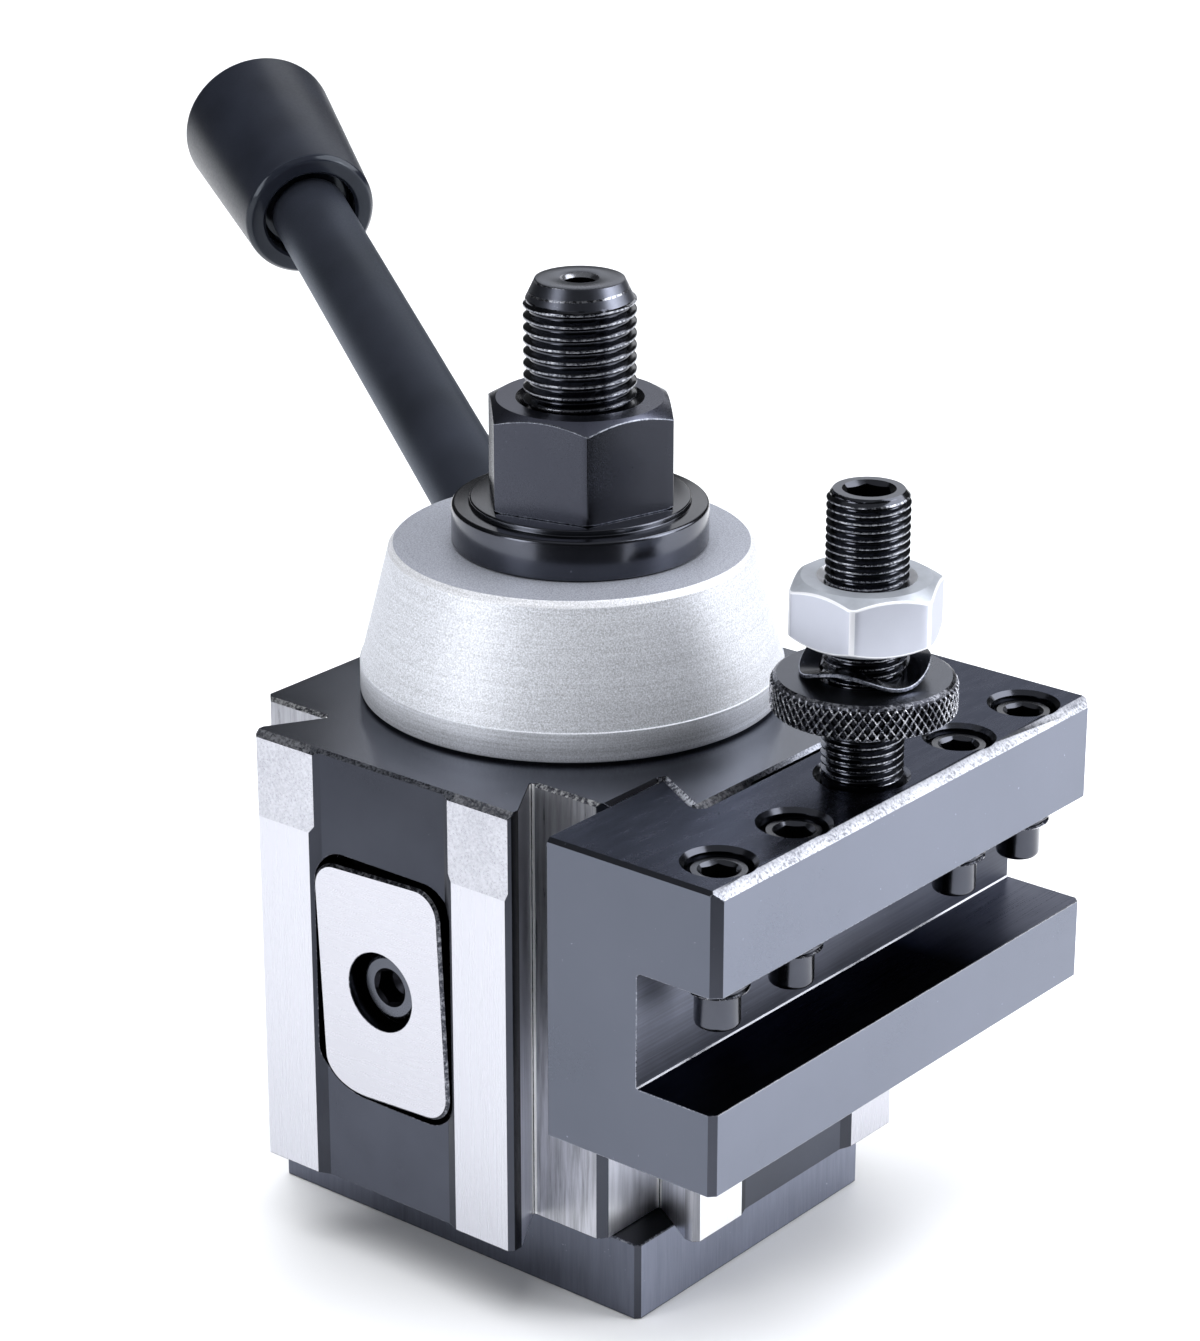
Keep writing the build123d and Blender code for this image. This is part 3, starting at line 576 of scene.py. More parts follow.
def bake(base, tools, bevel=0.0, bevel_mat=-1, limit=35.0, segments=2, angle=22.0):
    """Applies the modifiers and a small bevel on the sharp edges, and returns the mesh (still in mm)."""
    dg = bpy.context.evaluated_depsgraph_get()
    dg.update()
    me = bpy.data.meshes.new_from_object(base.evaluated_get(dg))
    for o in tools + [base]:
        bpy.data.objects.remove(o)
    if bevel:
        ob = bpy.data.objects.new("tmp_bevel", me)
        bpy.context.scene.collection.objects.link(ob)
        w = ob.modifiers.new("weld", "WELD")
        w.merge_threshold = 0.004
        b = ob.modifiers.new("bevel", "BEVEL")
        b.width, b.segments, b.limit_method = bevel, segments, "ANGLE"
        b.angle_limit = math.radians(limit)
        b.use_clamp_overlap = False
        b.miter_outer = "MITER_ARC"
        b.loop_slide = True
        if bevel_mat >= 0:
            b.material = bevel_mat
        dg.update()
        out = bpy.data.meshes.new_from_object(ob.evaluated_get(dg))
        bpy.data.objects.remove(ob)
        me = out
    me.polygons.foreach_set("use_smooth", np.ones(len(me.polygons), bool))
    me.set_sharp_from_angle(angle=math.radians(30.0 if bevel else angle))
    if bevel:
        ob = bpy.data.objects.new("tmp_normals", me)
        bpy.context.scene.collection.objects.link(ob)
        w = ob.modifiers.new("normals", "WEIGHTED_NORMAL")
        w.mode, w.weight, w.keep_sharp = "FACE_AREA", 50, True
        dg.update()
        out = bpy.data.meshes.new_from_object(ob.evaluated_get(dg))
        bpy.data.objects.remove(ob)
        me = out
    return me


def hexagon_radius(th, af, angle):
    """Distance from the centre to a hexagon's side in each direction."""
    a = np.mod(th - math.radians(angle), math.pi / 3) - math.pi / 6
    return (af / 2) / np.cos(a)


def hex_outline(af, angle, corner_r=0.25, flat=14, arc=4):
    """Points round a hexagon with slightly rounded corners, as (theta, radius)."""
    rc = af / 2 / math.cos(math.pi / 6)
    pts = []
    for k in range(6):
        a0, a1, a2 = (math.radians(angle + 60 * (k + q)) for q in (-1, 0, 1))
        p0, p, p1 = (rc * np.array([math.cos(a), math.sin(a)]) for a in (a0, a1, a2))
        u, v = (p0 - p) / np.linalg.norm(p0 - p), (p1 - p) / np.linalg.norm(p1 - p)
        t = corner_r / math.tan(math.radians(60))
        c = p + (u + v) / np.linalg.norm(u + v) * corner_r / math.sin(math.radians(60))
        s, e = p + u * t - c, p + v * t - c
        tot = math.atan2(s[0] * e[1] - s[1] * e[0], float(s @ e))
        for q in range(arc + 1):
            w = tot * q / arc
            pts.append(c + np.array([s[0] * math.cos(w) - s[1] * math.sin(w), s[0] * math.sin(w) + s[1] * math.cos(w)]))
        nxt0 = p1 - v * t
        here = p + v * t
        for q in range(1, flat):
            pts.append(here + (nxt0 - here) * q / flat)
    pts = np.array(pts)
    return np.arctan2(pts[:, 1], pts[:, 0]), np.hypot(pts[:, 0], pts[:, 1])


def nut_mesh(name, af, z0, z1, bore, angle, cx, cy, face_r, low_r, csink, slope=30.0, corner_r=0.3, ids=(0, 0, 0, 0, 0), soft=0.2, corner=None):
    """A chamfered hexagon nut. ids: flats, chamfers, countersink, rounded edges, end faces."""
    flat, cham, sink, edge, end = ids
    th, R = hex_outline(af, angle, corner_r)
    t = math.tan(math.radians(slope))
    one = np.ones_like(R)

    def shoulder(fr, sign, z):
        # rows from the end face's rim to the flat's straight side
        drop = np.maximum(R - fr, 0.02) * t
        inner = np.maximum(R - soft, np.minimum(fr + 0.01, R))
        return [(np.minimum(fr, R - soft - 0.02) * one, z * one), (inner, z - sign * np.maximum(inner - fr, 0.0) * t - sign * 0.01),
                (R - soft * 0.30, z - sign * (drop + soft * 0.05)), (R - soft * 0.08, z - sign * (drop + soft * 0.35)),
                (R, z - sign * (drop + soft))]

    lo, hi = shoulder(low_r, -1, z0), shoulder(face_r, 1, z1)
    rows = [(bore * one, (z0 + csink) * one, sink), ((bore + csink) * one, z0 * one, end)]
    rows += [(a, b, m) for (a, b), m in zip(lo, (cham, edge, edge, edge, flat))]
    rows += [(a, b, m) for (a, b), m in zip(hi[::-1], (edge, edge, edge, cham, end))]
    rows += [((bore + csink) * one, z1 * one, sink), (bore * one, (z1 - csink) * one, sink), (bore * one, (z0 + csink) * one, sink)]
    me = new_mesh(name, *grid([r[0] for r in rows], [r[1] for r in rows], cx, cy, [r[2] for r in rows[:-1]], th=th))
    for p in me.polygons:
        if p.material_index == flat and abs(p.normal.z) < 0.2:
            a = math.degrees(math.atan2(p.center.y - cy, p.center.x - cx)) - angle
            if math.hypot(p.center.y - cy, p.center.x - cx) > af / 2 and abs((a + 30) % 60 - 30) < 60 * corner_r / af * 0.62:
                p.material_index = edge if corner is None else corner
    return me


def turns(n):
    """Directions once round, with the first one repeated at the end."""
    return np.linspace(0, 2 * math.pi, n + 1)


def thread_rows(r, root, z0, z1, pitch, n, m, limit, fade=None):
    """Rows of a right-hand screw thread between z0 and z1. limit(z) is the largest radius allowed at each height."""
    th = turns(n)
    count = int(math.ceil((z1 - z0) / pitch * m)) + m
    R, Z = [], []
    for i in range(-m, count + 1):
        z = z0 + pitch * (i / m) + pitch * th / (2 * math.pi)
        ph = (i / m) % 1.0
        d = abs(ph - 0.5) * 2.0          # 1 at the crest's middle, 0 at the root's
        v = min(max((d - 0.06) / (0.92 - 0.06), 0.0), 1.0)
        v = v * v * (3.0 - 2.0 * v)
        zc = np.clip(z, z0, z1)
        base = root + (r - root) * v
        depth = (r - base) * (fade(zc) if fade else 1.0)
        R.append(np.minimum(r - depth, limit(zc)))
        Z.append(zc)
    return np.array(R), np.array(Z)


def strip_mesh(name, R, Z, th, cx=0.0, cy=0.0, mats=None):
    """Rows that run once round without closing, then welded along the seam. A thread's rows shift by one turn there."""
    R, Z = np.array(R, float), np.array(Z, float)
    rows, n = R.shape
    X, Y = cx + R * np.cos(th), cy + R * np.sin(th)
    verts = np.stack([X, Y, Z], -1).reshape(-1, 3).tolist()
    faces, ids = [], []
    for i in range(rows - 1):
        for j in range(n - 1):
            faces.append((i * n + j, i * n + j + 1, (i + 1) * n + j + 1, (i + 1) * n + j))
            ids.append(0 if mats is None else mats[i])
    for row, first in ((0, True), (rows - 1, False)):
        verts.append((cx, cy, float(Z[row].mean())))
        o = len(verts) - 1
        for j in range(n - 1):
            a, b = row * n + j, row * n + j + 1
            faces.append((o, b, a) if first else (o, a, b))
            ids.append(0 if mats is None else mats[0 if first else -1])
    me = new_mesh(name, verts, faces, ids)
    bm = bmesh.new()
    bm.from_mesh(me)
    bmesh.ops.remove_doubles(bm, verts=bm.verts, dist=0.0015)
    bmesh.ops.dissolve_degenerate(bm, edges=bm.edges, dist=0.0005)
    bm.to_mesh(me)
    bm.free()
    return me


def set_faces(me, old, rule):
    """Gives faces of one material another one by where they are."""
    for p in me.polygons:
        if p.material_index == old:
            k = rule(p.center, p.normal)
            if k is not None:
                p.material_index = k


def screw_axis_matrix():
    ax = Vector((math.cos(HA_PHI) * math.cos(HA_EL), math.sin(HA_PHI) * math.cos(HA_EL), math.sin(HA_EL)))
    q = ax.to_track_quat("Z", "Y")
    return Matrix.Translation(Vector((0, 0, HA_Z))) @ q.to_matrix().to_4x4()


FRONT = Matrix(((1, 0, 0, 0), (0, 0, -1, 0), (0, 1, 0, ZP), (0, 0, 0, 1)))      # (u, v, out) on the -Y side
TO_SIDE = Matrix.Rotation(math.pi / 2, 4, "Z")                                   # -Y side carried to +X
SIDES = (("front", FRONT), ("side", TO_SIDE @ FRONT))


# ================================================================= post body
def post_body():
    mats = [M_body, M_ground, M_shoulder, M_flank, M_shade_black, M_edge_dark, M_root_highlight, M_bore, M_facet, M_body_top, M_edge, M_wall,
            M_strip_top, M_shoulder_x, M_relief, M_gap, M_flank_x, M_facet_x, M_ground_x, M_hold_soft]
    OXI, GRD, SHO, FLK, SHD, EDG, ROO, BOR, FAC, TOP, BRI, WAL, STP, SHX, REL, STE, FLX, FCX, GRX, SOF = range(20)
    c = COLUMN_C
    # the front lands (SHD) take the painted-shade black, the shade under the dovetail noses
    half = [((-S + c, -S), SHO), ((-WR - 0.55, -S), ROO), ((-WR - 0.12, -S - 0.1), ROO), ((-WR - 0.2, -S - 0.52), FLK),
            ((-WX, -FL), SHD), ((-WX, -FE), FAC), ((-W1, -F), GRD), ((-W0, -F), WAL), ((-(W0 - CHW), -(F - CH)), OXI),
            ((W0 - CHW, -(F - CH)), WAL), ((W0, -F), GRD), ((W1, -F), FAC), ((WX, -FE), SHD), ((WX, -FL), FLK),
            ((WR + 0.2, -S - 0.52), ROO), ((WR + 0.12, -S - 0.1), ROO), ((WR + 0.55, -S), SHO), ((S - c, -S), FAC)]
    # on the +X side the shoulders (SHX) and, below, the strip (GRX) take brighter painted-light copies
    side = [((-y, x), {SHO: SHX, SHD: FLX, FAC: FCX}.get(m, m)) for (x, y), m in half]
    side[6] = (side[6][0], GRX)
    pts = half + side + [((S - c, S), OXI), ((-S + c, S), FAC), ((-S, S - c), OXI), ((-S, -S + c), FAC)]
    outline, ids = [p for p, _ in pts], [m for _, m in pts]
    me = prism_mesh("post_body_shell", outline, Z0, H, ids, TOP, OXI)

    def block(points, x0, x1, mat):
        # outline in (y, z), carried along x
        m = prism_mesh("tool", [(a, b) for a, b in points], x0, x1, mat, mat, mat)
        m.transform(Matrix(((0, 0, 1, 0), (1, 0, 0, 0), (0, 1, 0, 0), (0, 0, 0, 1))))
        return m

    wedge = [(-F - 1, H - STRIP_TOP_C - 1), (-F + STRIP_TOP_C + 1, H + 1), (-F - 1, H + 1)]
    ramp = [(-F - 1, RELIEF_Z - 0.9), (-F, RELIEF_Z - 0.9), (-F + RELIEF, RELIEF_Z), (-F + RELIEF, H + 1), (-F - 1, H + 1)]
    cutters = []
    for turn in (Matrix.Identity(4), TO_SIDE):
        for pp, x0, x1, mm in ((ramp, -25, 25, REL), (wedge, -25, -W0 + 0.02, STP), (wedge, -W0 - 0.02, W0 + 0.02, SOF), (wedge, W0 - 0.02, 25, STP)):
            b = block(pp, x0, x1, mm)
            b.transform(turn)
            cutters.append(b)
        rim = [(-S - 0.02, H - 0.5), (-S + 0.5, H + 0.02), (-S + 0.5, H + 0.5), (-S - 0.02, H + 0.5)]
        for x0, x1 in ((-S - 0.5, -WR - 0.62), (WR + 0.62, S + 0.5)):
            # the front rims take the worn bright edge; on the +X side they take the painted-shade black, the shade from
            # the holder
            b = block(rim, x0, x1, BRI if turn is not TO_SIDE else SHD)
            b.transform(turn)
            cutters.append(b)
    # rubbed top edge of the two flanks on the +X side
    for sy in (-1, 1):
        p0, p1 = Vector((S - 0.2, sy * (WR + 0.12), H)), Vector((FL, sy * WX, H))
        u = (p1 - p0).normalized()
        q = Vector((u.y, -u.x, 0)) if sy < 0 else Vector((-u.y, u.x, 0))
        sz, far = 0.85, (p1 - p0).length + 0.4
        tri = [(-sz - 0.3, 0.3), (0.3, -sz - 0.3), (0.35, 0.3)]
        vs = [p0 + u * d + q * a + Vector((0, 0, b)) for d in (0.0, far) for a, b in tri]
        fs = [(0, 1, 2), (5, 4, 3), (0, 3, 4, 1), (1, 4, 5, 2), (2, 5, 3, 0)]
        wd = new_mesh("tool", vs, fs, [STE] * 5)
        fix = bmesh.new()
        fix.from_mesh(wd)
        bmesh.ops.recalc_face_normals(fix, faces=fix.faces)
        fix.to_mesh(wd)
        fix.free()
        cutters.append(wd)
    cutters.append(cylinder("tool", 0, 0, 0, 128, BOR, rings=[
        (STUD_HOLE_R, Z0 - 1), (STUD_HOLE_R, Z0 + FLOOR_T), (BORE_R, Z0 + FLOOR_T), (BORE_R, 66.2), (18.7, 66.2),
        (18.7, 67.5), (BORE_R, 67.5), (BORE_R, H + 1)]))
    for _, mat in SIDES:
        # pad pockets, whose walls and floor take the painted-shade black
        o = plate_outline(POCKET_W, POCKET_H, POCKET_C, 0.0, less=-0.8)
        pk = prism_mesh("tool", o, POCKET_FLOOR, 40.0, SHD, SHD, SHD)
        pk.transform(mat)
        cutters.append(pk)
        cutters.append(cylinder("tool", 0, 0, 0, 72, BOR, matrix=mat, rings=[(10.05, 10.0), (10.05, 24.5), (8.05, 24.5), (8.05, 33.5)]))
    base, tools = cut(me, cutters, mats)
    me = bake(base, tools, bevel=0.10, bevel_mat=EDG, limit=50.0)

    def where(c, n):
        # the top edges of the dovetails' flanks and lands take the painted-shade black
        for out, along in ((-c.y, abs(c.x)), (c.x, abs(c.y))):
            if c.z > H - 0.3 and out > S + 0.15 and along > WR - 0.3:
                return SHD
        return None

    set_faces(me, EDG, where)
    return place("post_block", me, mats, "post", ["post_body"])


def plate_outline(w, h, corner, tilt, steps=12, less=0.0):
    """A rounded rectangle in (u, v), turned by a small angle. Its lower left corner is ground away further than the others."""
    pts = []
    for su, sv, a0 in ((1, 1, 0), (-1, 1, 90), (-1, -1, 180), (1, -1, 270)):
        ru, rv = (LOW_RU - less, LOW_RV - less) if su + sv == -2 else (corner, corner)
        cu, cv = su * (w / 2 - ru), sv * (h / 2 - rv)
        for q in range(steps + 1):
            a = math.radians(a0 + 90 * q / steps)
            pts.append((cu + ru * math.cos(a), cv + rv * math.sin(a)))
    t = math.radians(tilt)
    return [(u * math.cos(t) - v * math.sin(t), u * math.sin(t) + v * math.cos(t)) for u, v in pts]


def plate_mesh(name, w, h, corner, tilt, z0, z1, c, side, chamfer, face, back):
    """A rounded plate whose front edge is chamfered."""
    o, i = plate_outline(w, h, corner, tilt), plate_outline(w - 2 * c, h - 2 * c, corner - c, tilt, less=c)
    n = len(o)
    verts = [(u, v, z0) for u, v in o] + [(u, v, z1 - c) for u, v in o] + [(u, v, z1) for u, v in i]
    faces, ids = [tuple(range(2 * n, 3 * n)), tuple(range(n))[::-1]], [face, back]
    for row, m in ((0, side), (1, chamfer)):
        for j in range(n):
            k = (j + 1) % n
            faces.append((row * n + j, row * n + k, (row + 1) * n + k, (row + 1) * n + j))
            ids.append(m)
    return new_mesh(name, verts, faces, ids)


def pads():
    mats = [M_pad, M_pad_edge, M_gloss, M_bore]
    for side, mat in SIDES:
        plate = plate_mesh("pad", PAD_W, PAD_H, PAD_C, PAD_TILT, PAD_BACK, PAD_FACE, 0.38, 2, 1, 0, 3)
        hole = cylinder("tool", 0, 0, 0, 96, 2, rings=[(5.15, 33.0), (5.15, 40.0)])
        base, tools = cut(plate, [hole], mats)
        me = bake(base, tools, bevel=0.09, bevel_mat=1, limit=60.0)
        boss = new_mesh("boss", *lathe([(2.6, 27.0), (8.0, 27.0), (8.0, 33.95), (5.15, 33.95), (5.15, 30.2), (2.6, 30.2), (2.6, 27.0)],
                                       96, mats=[3, 3, 2, 2, 2, 3]))
        me = joined("pad_%s" % side, [me, boss])
        place("%s_clamp_pad" % side, me, mats, side + "_clamp", [side + "_pad"], matrix=mat)
        place("%s_cap_screw" % side, cap_screw(18.0), [M_screw, M_edge_dark, M_shade_black, M_screw_face], side + "_clamp", [side + "_pad_screw"], matrix=mat)


def joined(name, meshes):
    """One mesh from several, keeping material ids."""
    parts = []
    for m in meshes:
        n = len(m.vertices)
        co = np.zeros(n * 3)
        m.vertices.foreach_get("co", co)
        parts.append((co.reshape(-1, 3).tolist(), [tuple(p.vertices) for p in m.polygons], [p.material_index for p in m.polygons]))
    return new_mesh(name, *merge(*parts))


def socket_rows(th, af, angle, z_top, depth, lip=0.25, drill=0.9):
    """Rows that run down a hexagon socket from its lip to the bottom of the drilled point."""
    hx = hexagon_radius(th, af, angle)
    one = np.ones_like(th)
    big = af / 2 / math.cos(math.pi / 6) + lip
    return ([np.maximum(big * one, hx + 0.04), hx, hx * 0.995, af / 2 * 0.92 * one, 0.02 * one],
            [z_top * one, z_top - lip - (big - hx) * 0.3, (z_top - depth) * one, (z_top - depth) * one, (z_top - depth - drill) * one])


def cap_screw(angle):
    n = 144
    th = np.linspace(0, 2 * math.pi, n, endpoint=False) + math.radians(angle)
    one = np.ones(n)
    prof = [(2.5, 21.4), (2.5, 30.2), (4.05, 30.2), (4.25, 30.4), (4.25, 34.65), (4.2, 34.86), (4.05, 35.06), (3.8, 35.2)]
    R = [p[0] * one for p in prof]
    Z = [p[1] * one for p in prof]
    # the socket's walls and floor (index 2) take the painted-shade black
    sr, sz = socket_rows(th, 4.0, angle, 35.2, 2.6)
    v, f, ids = grid(R + sr, Z + sz, mats=[0, 0, 0, 0, 0, 1, 1, 3, 2, 2, 2, 2], cap_first=True, cap_last=True, th=th)
    return new_mesh("cap_screw", v, f, ids)


# =============================================================== tool holder
def tool_holder():
    mats = [M_hold, M_hold_top, M_hold_slot, M_slot_shade, M_hold_edge, M_hold_corner, M_gloss, M_line, M_hold_soft, M_hold_end]
    HOL, TOP, SLO, DRK, WOR, COR, GLO, LIN, SOF, END = range(10)
    prof = [((TH_X0, TH_Z0), HOL), ((TH_XL, TH_Z0), HOL), ((TH_XL, SLOT_Z0), DRK), ((SLOT_X + 0.17, SLOT_Z0), LIN),
            ((SLOT_X, SLOT_Z0 + 0.17), SLO), ((SLOT_X, SLOT_Z1 - 0.4), DRK), ((SLOT_X + 0.4, SLOT_Z1), DRK),
            ((TH_X1, SLOT_Z1), HOL), ((TH_X1, TH_Z1 - TOP_C), WOR), ((TH_X1 - TOP_C, TH_Z1), TOP), ((TH_X0, TH_Z1), HOL)]
    outline, ids = [p for p, _ in prof], [m for _, m in prof]
    # the two end faces take the darker painted-shade copy
    me = prism_mesh("holder", outline, -TH_HY, TH_HY, ids, END, END)
    me.transform(Matrix(((1, 0, 0, 0), (0, 0, -1, 0), (0, 1, 0, 0), (0, 0, 0, 1))))   # (x, z) outline carried along y
    cutters = []
    for s in (-1, 1):
        y = s * TH_HY
        tri = [(TH_X1 - END_C - 1, y + s * 1.0), (TH_X1 + 1.0, y - s * (END_C + 1) + 0), (TH_X1 + 1.0, y + s * 1.0)]
        cutters.append(prism_mesh("tool", tri, TH_Z0 - 1, TH_Z1 + 1, COR, COR, COR))
        rim = [(y + s * 0.6, TH_Z1 - 1.1), (y + s * 0.6, TH_Z1 + 0.6), (y - s * 1.1, TH_Z1 + 0.6)]
        m = prism_mesh("tool", rim, TH_X0 - 1, TH_X1 - TOP_C * 0.5, COR, COR, COR)
        m.transform(Matrix(((0, 0, 1, 0), (1, 0, 0, 0), (0, 1, 0, 0), (0, 0, 0, 1))))
        cutters.append(m)
    slope = (WX - WR) / (DT - LAND_Y)
    fl = lambda x: WR + slope * (x - S) + 0.086
    female = [(TH_X0 - 1, -fl(TH_X0 - 1)), (FL + 0.07, -fl(FL + 0.07)), (FE + 0.12, -WX - 0.3), (TH_FLOOR_X, -W1 - 0.1),
              (TH_FLOOR_X, W1 + 0.1), (FE + 0.12, WX + 0.3), (FL + 0.07, fl(FL + 0.07)), (TH_X0 - 1, fl(TH_X0 - 1))]
    # the female dovetail's faces take the painted slot shade, the dark gap beside the post
    cutters.append(prism_mesh("tool", female, TH_Z0 - 1, TH_Z1 + 1, DRK, DRK, DRK))
    for y in (-SC_Y[0], -SC_Y[1], SC_Y[1], SC_Y[0]):
        cutters.append(cylinder("tool", 0, 0, 0, 64, GLO, cx=SC_X, cy=y, rings=[
            (5.3, SLOT_Z1 - 1), (4.05, SLOT_Z1 + 0.25), (4.05, TH_Z1 - 0.55), (4.75, TH_Z1 + 0.15), (4.75, TH_Z1 + 1)]))
    sk = cylinder("tool", 0, 0, 0, 72, GLO, cx=HX, cy=HY, rings=[
        (5.0, 56.3), (5.0, TH_Z1 - 0.9), (6.9, TH_Z1 + 1)])
    cutters.append(sk)
    base, tools = cut(me, cutters, mats)
    me = bake(base, tools, bevel=0.12, bevel_mat=SOF, limit=50.0)

    def where(c, n):
        # thin bright lines along the lower jaw's two front edges
        if c.x > TH_XL - 0.35 and (abs(c.z - SLOT_Z0) < 0.3 or abs(c.z - TH_Z0) < 0.3):
            return LIN
        # bevels on the holder's back part, beside the post, take the darker corner oxide: painted shade in the gap
        # between holder and post
        if c.x < TH_X0 + 12 and c.z > TH_Z0 + 1 and c.z < TH_Z1 - 1:
            return COR
        return None

    set_faces(me, SOF, where)
    return place("holder_block", me, mats, "holder", ["tool_holder"])


def tool_screws():
    r, root, pitch = 3.98, 3.30, 1.25
    top, tip, start = 67.6, 48.1, 52.7
    th = turns(72)
    one = np.ones_like(th)
    lim = lambda z: np.minimum(np.minimum(r, 3.5 + (top - z)), 3.55 + (z - start) * 1.1)
    R, Z = thread_rows(r, root, start, top, pitch, 72, 9, lim)
    lowR = [0.02 * one, 2.1 * one, 2.45 * one, 2.66 * one, 2.75 * one, 2.75 * one, 2.9 * one, 3.5 * one]
    lowZ = [tip * one, tip * one, (tip + 0.09) * one, (tip + 0.3) * one, (tip + 0.65) * one, (start - 0.35) * one, (start - 0.08) * one,
            start * one]
    sr, sz = socket_rows(th, 4.0, 0.0, top, 4.2)
    allR = np.array(lowR + list(R) + [3.45 * one] + sr)
    allZ = np.array(lowZ + list(Z) + [top * one] + sz)
    ids = [1] * 6 + [2, 3, 3, 3, 3] + [0] * (len(allR) - 1 - 11)
    spots = [(SC_X, -SC_Y[0]), (SC_X, -SC_Y[1]), (SC_X, SC_Y[1]), (SC_X, SC_Y[0])]
    for i, ((x, y), a) in enumerate(zip(spots, (10, 34, 22, 5))):
        me = strip_mesh("tool_screw", allR, allZ, th, mats=ids)
        place("dog_screw_%d" % (i + 1), me, [M_screw, M_gloss, M_line, M_collar], "screw_%d" % (i + 1), ["tool_screw_%d" % (i + 1)],
              angle=32, matrix=Matrix.Translation(Vector((x, y, 0))) @ Matrix.Rotation(math.radians(a), 4, "Z"))


# ============================================================ height stop set
def height_set():
    r, root, pitch, top = 5.0, 4.46, 1.0, 104.6
    th = turns(96)
    one = np.ones_like(th)
    lim = lambda z: np.minimum(r, 4.25 + (top - z) * 0.85)
    R, Z = thread_rows(r, root, 68.9, top, pitch, 96, 10, lim)
    sr, sz = socket_rows(th, 5.0, 12.0, top, 4.6, lip=0.3)
    allR = np.array([0.02 * one, 4.4 * one, 5.0 * one, 5.0 * one] + list(R) + [4.2 * one] + sr)
    allZ = np.array([56.5 * one, 56.5 * one, 57.1 * one, 68.8 * one] + list(Z) + [top * one] + sz)
    k = len(allR)
    # crest bands take the bright speckle, partly wear and partly a painted highlight
    ids = [0] * 4 + [2 if i % 10 in (9, 0) else 0 for i in range(len(R) - 1)]
    me = strip_mesh("stop_stud", allR, allZ, th, HX, HY, mats=ids + [0] * (k - 8 - len(ids)) + [1, 1] + [0] * 5)
    place("stop_stud", me, [M_thread, M_stud_top, M_thread_wear_and_glint], "holder", ["height_stud"], angle=32)

    # knurled nut: crossed ridges; the ridge tops are rubbed bright, partly wear and partly a painted highlight
    rk, z0, z1, count = 11.2, 77.0, 81.5, 62
    n = 868
    th = np.linspace(0, 2 * math.pi, n, endpoint=False)
    one = np.ones(n)
    rows = 50
    p = 2 * math.pi * rk / count
    tri = lambda u: 1 - np.abs(2 * (u - np.floor(u)) - 1)
    R, Z = [5.06 * one, 5.75 * one, 10.2 * one], [(z0 + 0.7) * one, z0 * one, z0 * one]
    mats, crest = [0, 0, 0], [None] * 3
    for i in range(rows + 1):
        z = z0 + 0.3 + (z1 - z0 - 0.9) * i / rows
        u1 = (th * rk + (z - z0) * 0.72) / p
        u2 = (th * rk - (z - z0) * 0.72) / p
        h = np.maximum(tri(u1), tri(u2))
        edge = min(1.0, min(z - z0 - 0.3, z1 - 0.6 - z) / 0.35 + 0.1)
        R.append(rk - 0.42 * (1 - np.clip((h - 0.50) / 0.38, 0.0, 1.0)) * (0.35 + 0.65 * edge) - 0.25 * (1 - edge) ** 2)
        Z.append(z * one)
        mats.append(1)
        crest.append(h)
    R += [10.85 * one, 10.45 * one, 5.75 * one, 5.06 * one, 5.06 * one]
    Z += [(z1 - 0.28) * one, z1 * one, z1 * one, (z1 - 0.7) * one, (z0 + 0.7) * one]
    mats += [2, 3, 4, 4, 0]
    mats[3 + rows] = 2
    v, f, ids = grid(R, Z, HX, HY, mats=mats[:len(R) - 1])
    for i in range(3, 3 + rows):
        h = crest[i]
        for j in range(n):
            if 0.25 * (h[j] + h[(j + 1) % n] + crest[i + 1][j] + crest[i + 1][(j + 1) % n]) > 0.80:
                ids[i * n + j] = 5
    place("stop_nut", new_mesh("stop_nut", v, f, ids), [M_knurl, M_knurl, M_pad_edge, M_stud_top, M_gloss, M_crest], "height_wheel",
          ["height_nut"], angle=20)

    # wave washer
    n = 144
    th = np.linspace(0, 2 * math.pi, n, endpoint=False)
    wave = 82.85 + 0.95 * np.cos(3 * (th + math.radians(75.7)))
    sec = [(5.3, -0.2), (5.36, -0.25), (7.7, -0.25), (7.8, -0.16), (7.8, 0.16), (7.7, 0.25), (5.36, 0.25), (5.3, 0.2), (5.3, -0.2)]
    R = [a * np.ones(n) for a, _ in sec]
    Z = [wave + b for _, b in sec]
    v, f, ids = grid(R, Z, HX, HY, mats=[0, 0, 1, 1, 1, 0, 0, 0])
    place("spring_wave", new_mesh("spring_wave", v, f, ids), [M_wave, M_hold_soft], "spring_washer", ["wave_washer"], angle=32)

    me = nut_mesh("lock_nut", 17.0, 86.4, 93.8, 5.06, 55.6, HX, HY, 7.8, 8.2, 0.9, slope=30, corner_r=1.3, ids=(0, 1, 2, 2, 1), soft=0.20)
    place("zinc_lock_nut", me, [M_zinc, M_zinc_top, M_zinc_edge], "jam_nut", ["lock_nut"], angle=28)


